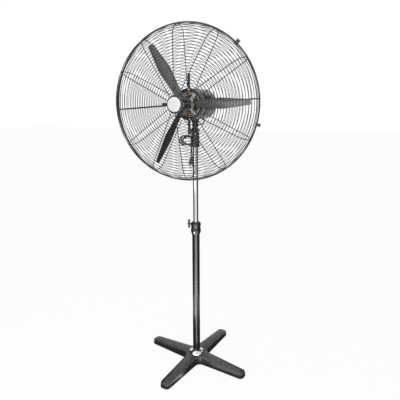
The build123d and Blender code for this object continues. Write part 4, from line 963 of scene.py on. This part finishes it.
# Wire guard: two bowls of black powder-coated steel wire.
# Straight ribs bend over at the rim, fine rings are welded over them, and a thick rim closes each bowl.
RIBS = 12
RIB_TURN = -4.0
RIB_WIRE = 4.0 * MM
RING_WIRE = 2.6 * MM
RING_PITCH = 14.0 * MM
RIM_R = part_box("front_guard_rim")[1].x
RIM_WIRE = 6.0 * MM
RIM_PLANE = -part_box("front_guard_rim")[1].y
WELD_GAP = 0.05 * MM
RIB_SIDES = 8
RING_SIDES = 120
RING_WIRE_SIDES = 6
RIB_R = RIM_R - RIM_WIRE - WELD_GAP - RIB_WIRE / 2
POWDER = coated("powder_wire", (0.02, 0.02, 0.021), (0.03, 0.03, 0.031), 0.38, bump=0.15, grain=1500)


def guard_tree():
    """Geometry nodes that turn one rib line into a bowl of ribs and rings about the Y axis."""
    tree, make, given = new_tree(
        "wire_bowl",
        "GeometryNodeTree",
        {
            "Geometry": "Geometry",
            "Ribs": "Int",
            "Rib Turn": "Float",
            "Rib Wire": "Float",
            "Ring Pitch": "Float",
            "Ring Wire": "Float",
            "Ring Offset": "Float",
            "Inner Limit": "Float",
            "Material": "Material",
        },
        {"Geometry": "Geometry"},
    )
    line = make("GeometryNodeMeshToCurve", {"Mesh": given["Geometry"]})
    index = make("GeometryNodeInputIndex")

    def wire(curve, thickness, sides):
        """A round skin along a curve."""
        half = make("ShaderNodeMath", {0: given[thickness]}, {1: 0.5}, operation="MULTIPLY")
        profile = make("GeometryNodeCurvePrimitiveCircle", {"Radius": half}, {"Resolution": sides})
        curves = {"Curve": curve, "Profile Curve": profile}
        return make("GeometryNodeCurveToMesh", curves, {"Fill Caps": True})

    # Ribs: the line's wire, repeated round the axis
    stations = make("GeometryNodeMeshLine", {"Count": given["Ribs"]}, {"Offset": (0, 0, 0)})
    share = make("ShaderNodeMath", {0: index, 1: given["Ribs"]}, operation="DIVIDE")
    terms = {0: share, 2: given["Rib Turn"]}
    turn = make("ShaderNodeMath", terms, {1: 2 * math.pi}, operation="MULTIPLY_ADD")
    about = make("ShaderNodeCombineXYZ", {"Y": turn})
    facing = make("FunctionNodeEulerToRotation", {0: about})
    rib = wire(line, "Rib Wire", RIB_SIDES)
    ribs = make("GeometryNodeInstanceOnPoints", {"Points": stations, "Instance": rib, "Rotation": facing})

    # Rings: a point at each pitch along the line, lifted on to the rib, becomes a hoop of its radius
    spacing = {"Curve": line, "Length": given["Ring Pitch"]}
    spaced = make("GeometryNodeResampleCurve", spacing, mode="LENGTH")
    tangent = make("GeometryNodeInputTangent")
    sideways = make("ShaderNodeVectorMath", {0: tangent}, {1: (0, 0, 1)}, operation="CROSS_PRODUCT")
    lift = make("ShaderNodeVectorMath", {0: sideways, "Scale": given["Ring Offset"]}, operation="SCALE")
    lifted = make("GeometryNodeSetPosition", {"Geometry": spaced, "Offset": lift})
    spots = make("GeometryNodeCurveToPoints", {"Curve": lifted}, mode="EVALUATED")
    apart = make("ShaderNodeSeparateXYZ", {0: make("GeometryNodeInputPosition")}).outputs
    limit = {"A": apart["X"], "B": given["Inner Limit"]}
    too_near = make("FunctionNodeCompare", limit, data_type="FLOAT", operation="LESS_THAN")
    at_rim = make("FunctionNodeCompare", {"A": index}, {"B": 1}, data_type="INT", operation="LESS_THAN")
    unwanted = make("FunctionNodeBooleanMath", {0: too_near, 1: at_rim}, operation="OR")
    kept = make("GeometryNodeDeleteGeometry", {"Geometry": spots, "Selection": unwanted})
    stored = {"Geometry": kept, "Value": apart["X"]}
    label = {"Name": "ring_radius"}
    radius = make("GeometryNodeStoreNamedAttribute", stored, label, data_type="FLOAT")
    depth = make("ShaderNodeCombineXYZ", {"Y": apart["Y"]})
    centred = make("GeometryNodeSetPosition", {"Geometry": radius, "Position": depth})
    hoop = make("GeometryNodeCurvePrimitiveCircle", None, {"Resolution": RING_SIDES, "Radius": 1.0})
    size = make("GeometryNodeInputNamedAttribute", None, label, data_type="FLOAT")
    upright = make("FunctionNodeEulerToRotation", None, {0: (math.pi / 2, 0, 0)})
    placing = {"Points": centred, "Instance": hoop, "Rotation": upright, "Scale": size}
    hoops = make("GeometryNodeInstanceOnPoints", placing)
    real_hoops = make("GeometryNodeRealizeInstances", {"Geometry": hoops})
    even = make("GeometryNodeSetCurveRadius", {"Curve": real_hoops}, {"Radius": 1.0})
    rings = wire(even, "Ring Wire", RING_WIRE_SIDES)

    both = fed(make("GeometryNodeJoinGeometry", {0: ribs}), {0: rings})
    real = make("GeometryNodeRealizeInstances", {0: both})
    smooth = make("GeometryNodeSetShadeSmooth", {"Geometry": real})
    painted = make("GeometryNodeSetMaterial", {"Geometry": smooth, "Material": given["Material"]})
    make("NodeGroupOutput", {"Geometry": painted})
    return tree


WIRE_BOWL = guard_tree()


def bent_line(points, bend, steps=12):
    """A rib's line in the plane of the fan's axis: straight runs with one round bend."""
    start, corner, end = (Vector(point) for point in points)
    back = (start - corner).normalized()
    ahead = (end - corner).normalized()
    half = math.acos(back.dot(ahead)) / 2
    reach = bend / math.tan(half)
    middle = corner + (back + ahead).normalized() * (bend / math.sin(half))
    first = corner + back * reach
    last = corner + ahead * reach
    found = [start]
    for i in range(steps + 1):
        arm = (first - middle).normalized().slerp((last - middle).normalized(), i / steps) * bend
        found.append(middle + arm)
    found.append(end)
    return found


def wire_bowl(name, line, offset, inner, node_names):
    """One half of the guard from its rib line of (radius, forward) points."""
    mesh = bpy.data.meshes.new(name)
    spots = [(spot.x, -spot.y, 0) for spot in line]
    mesh.from_pydata(spots, [(i, i + 1) for i in range(len(spots) - 1)], [])
    work = working(mesh)
    bowl = work.modifiers.new("bowl", "NODES")
    bowl.node_group = WIRE_BOWL
    set_inputs(
        bowl,
        {
            "Ribs": RIBS,
            "Rib Turn": math.radians(RIB_TURN - 90),
            "Rib Wire": RIB_WIRE,
            "Ring Pitch": RING_PITCH,
            "Ring Wire": RING_WIRE,
            "Ring Offset": offset,
            "Inner Limit": inner,
            "Material": POWDER,
        },
    )
    made = baked(work)
    made.transform(Matrix.Translation((0, 0, HUB_Z)))
    return place_piece(name, made, POWDER, "head", node_names)


RIB_GAP = 0.3 * MM
RIB_LEAN = 6 * MM
FRONT_DEPTH = 70 * MM
FRONT_CROWN = 48 * MM
FRONT_BEND = 76 * MM
BACK_BEND = 36 * MM
BACK_DEPTH = 55 * MM
FRONT_INNER = 26 * MM
BACK_INNER = 92 * MM
PLATE_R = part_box("centre_plate")[1].x
ring_lift = (RIB_WIRE + RING_WIRE) / 2
front_line = bent_line(
    [
        (RIB_R, RIM_PLANE + RIB_GAP),
        (RIB_R - RIB_LEAN, RIM_PLANE + FRONT_DEPTH),
        (FRONT_INNER, RIM_PLANE + FRONT_DEPTH + FRONT_CROWN),
    ],
    FRONT_BEND,
)
back_line = bent_line(
    [
        (RIB_R, RIM_PLANE - RIB_GAP),
        (RIB_R - RIB_LEAN, RIM_PLANE - BACK_DEPTH),
        (BACK_INNER, RIM_PLANE - BACK_DEPTH),
    ],
    BACK_BEND,
)
wire_bowl("front_guard", front_line, -ring_lift, PLATE_R, ["front_guard_ribs", "front_guard_rings"])
wire_bowl("rear_guard", back_line, ring_lift, BACK_INNER, ["rear_guard_ribs", "rear_guard_rings"])


RIM_SIDES = 160


def round_wire(radius, forward, wire, steps=12):
    """Profile of a hoop of round wire."""
    turns = [2 * math.pi * i / steps for i in range(steps)]
    return [(radius + wire / 2 * math.cos(a), forward + wire / 2 * math.sin(a)) for a in turns]


for side, node in ((1, "front_guard_rim"), (-1, "rear_guard_rim")):
    hoop = round_wire(RIM_R - RIM_WIRE / 2, RIM_PLANE + side * RIM_WIRE / 2, RIM_WIRE)
    rim_mesh = turned(node, hoop, on_fan, sides=RIM_SIDES, closed=True)
    place_piece(node + "_hoop", rim_mesh, POWDER, "head", [node])

# Rim clips: two bent steel clips that hold the halves of the guard together, each with a domed screw.
# The plate in the middle is what the front ribs are welded to.
CLIP_ANGLES = (44, 104)
CLIP_RADIUS = 399 * MM
CLIP_FRONT = -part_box("rim_clips")[0].y
for node in ("rim_clips", "centre_plate"):
    softened_piece(node + "_piece", node, MOTOR_EDGE, CASING, "head")
screw_spots = [(on_fan(CLIP_RADIUS, CLIP_FRONT, math.radians(angle)), FORWARD) for angle in CLIP_ANGLES]
screw_head = head_shape(
    "screw_head", radius=4.4 * MM, height=2.8 * MM, shank_radius=2 * MM, shank=17 * MM, sides=24, dome=0.6
)
fastener_piece("clip_screw_set", screw_spots, screw_head, CASING, "head", ["clip_screws"])

# Badge: a white domed disc with a bare face, set over the front ribs.
# Its edge is rounded, and a stem behind it goes back inside the ribs' ends to the plate.
badge_low, badge_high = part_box("badge")
BADGE_R = badge_high.x
BADGE_FRONT = -badge_low.y
BADGE_BACK = -badge_high.y
BADGE_THICK = 6 * MM
STEM_R = 18 * MM
WHITE_PLATE = coated(
    "badge_white", (0.86, 0.87, 0.88), (0.8, 0.81, 0.83), 0.3, spread=0.05, cloud=30, bump=0.02
)
# From the middle of the face over the edge to the stem: radius, place along the axis
badge_profile = rounded(
    [
        (0, BADGE_FRONT),
        (BADGE_R * 0.6, BADGE_FRONT - 0.3 * MM),
        (BADGE_R - 3 * MM, BADGE_FRONT - 1.2 * MM),
        (BADGE_R, BADGE_FRONT - 3.5 * MM),
        (BADGE_R, BADGE_FRONT - BADGE_THICK),
        (STEM_R, BADGE_FRONT - BADGE_THICK),
        (STEM_R, BADGE_BACK),
        (0, BADGE_BACK),
    ],
    1.5 * MM,
)
badge_mesh = turned("badge_disc", badge_profile, on_fan)
place_piece("badge_disc", badge_mesh, WHITE_PLATE, "head", ["badge"])

# Blades: three cambered paddles of dark painted sheet, each riveted to an arm of the cast hub.
# The sheet is rolled along its span and its tip corners are rounded.
BLADES = 3
BLADE_TURN = -32.0
BLADE_PITCH = 33.0
BLADE_ROOT = 56 * MM
BLADE_TIP = 345 * MM
BLADE_WIDEST = 200 * MM
BLADE_ROOT_HALF = 19 * MM
BLADE_HALF = 32 * MM
BLADE_TIP_HALF = 15 * MM
BLADE_ROUND = 9 * MM
BLADE_CAMBER = 170 * MM
BLADE_THICK = 2.5 * MM
BLADE_EDGE = 0.7 * MM
HUB_EDGE = 0.8 * MM
SPAN_STEPS = 30
TIP_STEPS = 10
CHORD_STEPS = 14
BLADE_ANGLES = [BLADE_TURN + 360 / BLADES * k for k in range(BLADES)]
ROTOR_CENTRE = Vector((0, -RIM_PLANE, HUB_Z))
SHEET = coated(
    "blade_sheet", (0.022, 0.022, 0.023), (0.017, 0.017, 0.018), 0.28, cloud=14, bump=0.03, coat=0.2
)


def blade_axes(angle):
    """Chord, outward and forward directions of one blade."""
    turn = math.radians(angle)
    pitch = math.radians(BLADE_PITCH)
    outward = Vector((math.sin(turn), 0, math.cos(turn)))
    chord = Vector((math.cos(turn) * math.cos(pitch), math.sin(pitch), -math.sin(turn) * math.cos(pitch)))
    return chord, outward, chord.cross(outward)


def blade_half(spot):
    """Half the blade's width at a distance from the axis."""
    if spot < BLADE_WIDEST:
        share = (spot - BLADE_ROOT) / (BLADE_WIDEST - BLADE_ROOT)
        half = BLADE_ROOT_HALF + (BLADE_HALF - BLADE_ROOT_HALF) * share
    else:
        share = (spot - BLADE_WIDEST) / (BLADE_TIP - BLADE_WIDEST)
        half = BLADE_HALF + (BLADE_TIP_HALF - BLADE_HALF) * share
    into = spot - (BLADE_TIP - BLADE_ROUND)
    if into > 0:
        half -= BLADE_ROUND - math.sqrt(max(BLADE_ROUND**2 - into**2, 0))
    return half


def blade_mesh(name, angle):
    """A cambered sheet from root to tip, given its thickness and rounded edges."""
    chord, outward, forward = blade_axes(angle)
    shoulder = BLADE_TIP - BLADE_ROUND
    spots = [BLADE_ROOT + (shoulder - BLADE_ROOT) * i / SPAN_STEPS for i in range(SPAN_STEPS + 1)]
    for i in range(1, TIP_STEPS + 1):
        spots.append(shoulder + BLADE_ROUND * math.sin(math.pi / 2 * i / TIP_STEPS))
    work = bmesh.new()
    rows = []
    for spot in spots:
        half = blade_half(spot)
        row = []
        for j in range(CHORD_STEPS + 1):
            side = half * (2 * j / CHORD_STEPS - 1)
            lift = BLADE_CAMBER - math.sqrt(BLADE_CAMBER**2 - side**2)
            row.append(work.verts.new(ROTOR_CENTRE + chord * side + outward * spot + forward * lift))
        rows.append(row)
    for low, high in zip(rows, rows[1:]):
        for j in range(CHORD_STEPS):
            work.faces.new((low[j], low[j + 1], high[j + 1], high[j]))
    bmesh.ops.recalc_face_normals(work, faces=work.faces)
    mesh = bpy.data.meshes.new(name)
    work.to_mesh(mesh)
    work.free()
    sheet = working(mesh)
    thick = sheet.modifiers.new("thick", "SOLIDIFY")
    thick.thickness = BLADE_THICK
    thick.offset = 0
    round_edges(sheet, BLADE_EDGE, segments=2, keep_angle=50)
    return edge_marked(settled(sheet))


for k, angle in enumerate(BLADE_ANGLES):
    node = "blade_%d" % (k + 1)
    place_piece(node + "_paddle", blade_mesh(node, angle), SHEET, "rotor", [node])
for node, finish, slot in (
    ("blade_hub", CASING, "grey_casting"),
    ("hub_nut", ZINC, "steel"),
    ("motor_shaft", ZINC, "steel"),
    ("rotor_core", LAMINATED, "steel"),
):
    softened_piece(node + "_piece", node, HUB_EDGE, finish, "rotor")

# Blade rivets: domed heads on both faces of each blade's root.
# They are set in a row along the arm and painted over with the blade.
RIVETS = 3
RIVET_INSET = 10.5 * MM
RIVET_PITCH = 14 * MM
ARM_THICK = 4 * MM
ARM_GAP = 0.05 * MM
ARM_BACK = -(BLADE_THICK / 2 + ARM_THICK + ARM_GAP)
rivet_spots = []
for angle in BLADE_ANGLES:
    chord, outward, forward = blade_axes(angle)
    for i in range(RIVETS):
        along = ROTOR_CENTRE + outward * (BLADE_ROOT + RIVET_INSET + RIVET_PITCH * i)
        rivet_spots.append((along + forward * (BLADE_THICK / 2), forward))
        rivet_spots.append((along + forward * ARM_BACK, -forward))
rivet_head = head_shape(
    "rivet_head", radius=5 * MM, height=2 * MM, shank_radius=3 * MM, shank=2 * MM, sides=20, dome=0.8
)
fastener_piece("blade_rivet_set", rivet_spots, rivet_head, SHEET, "rotor", ["blade_rivets"])
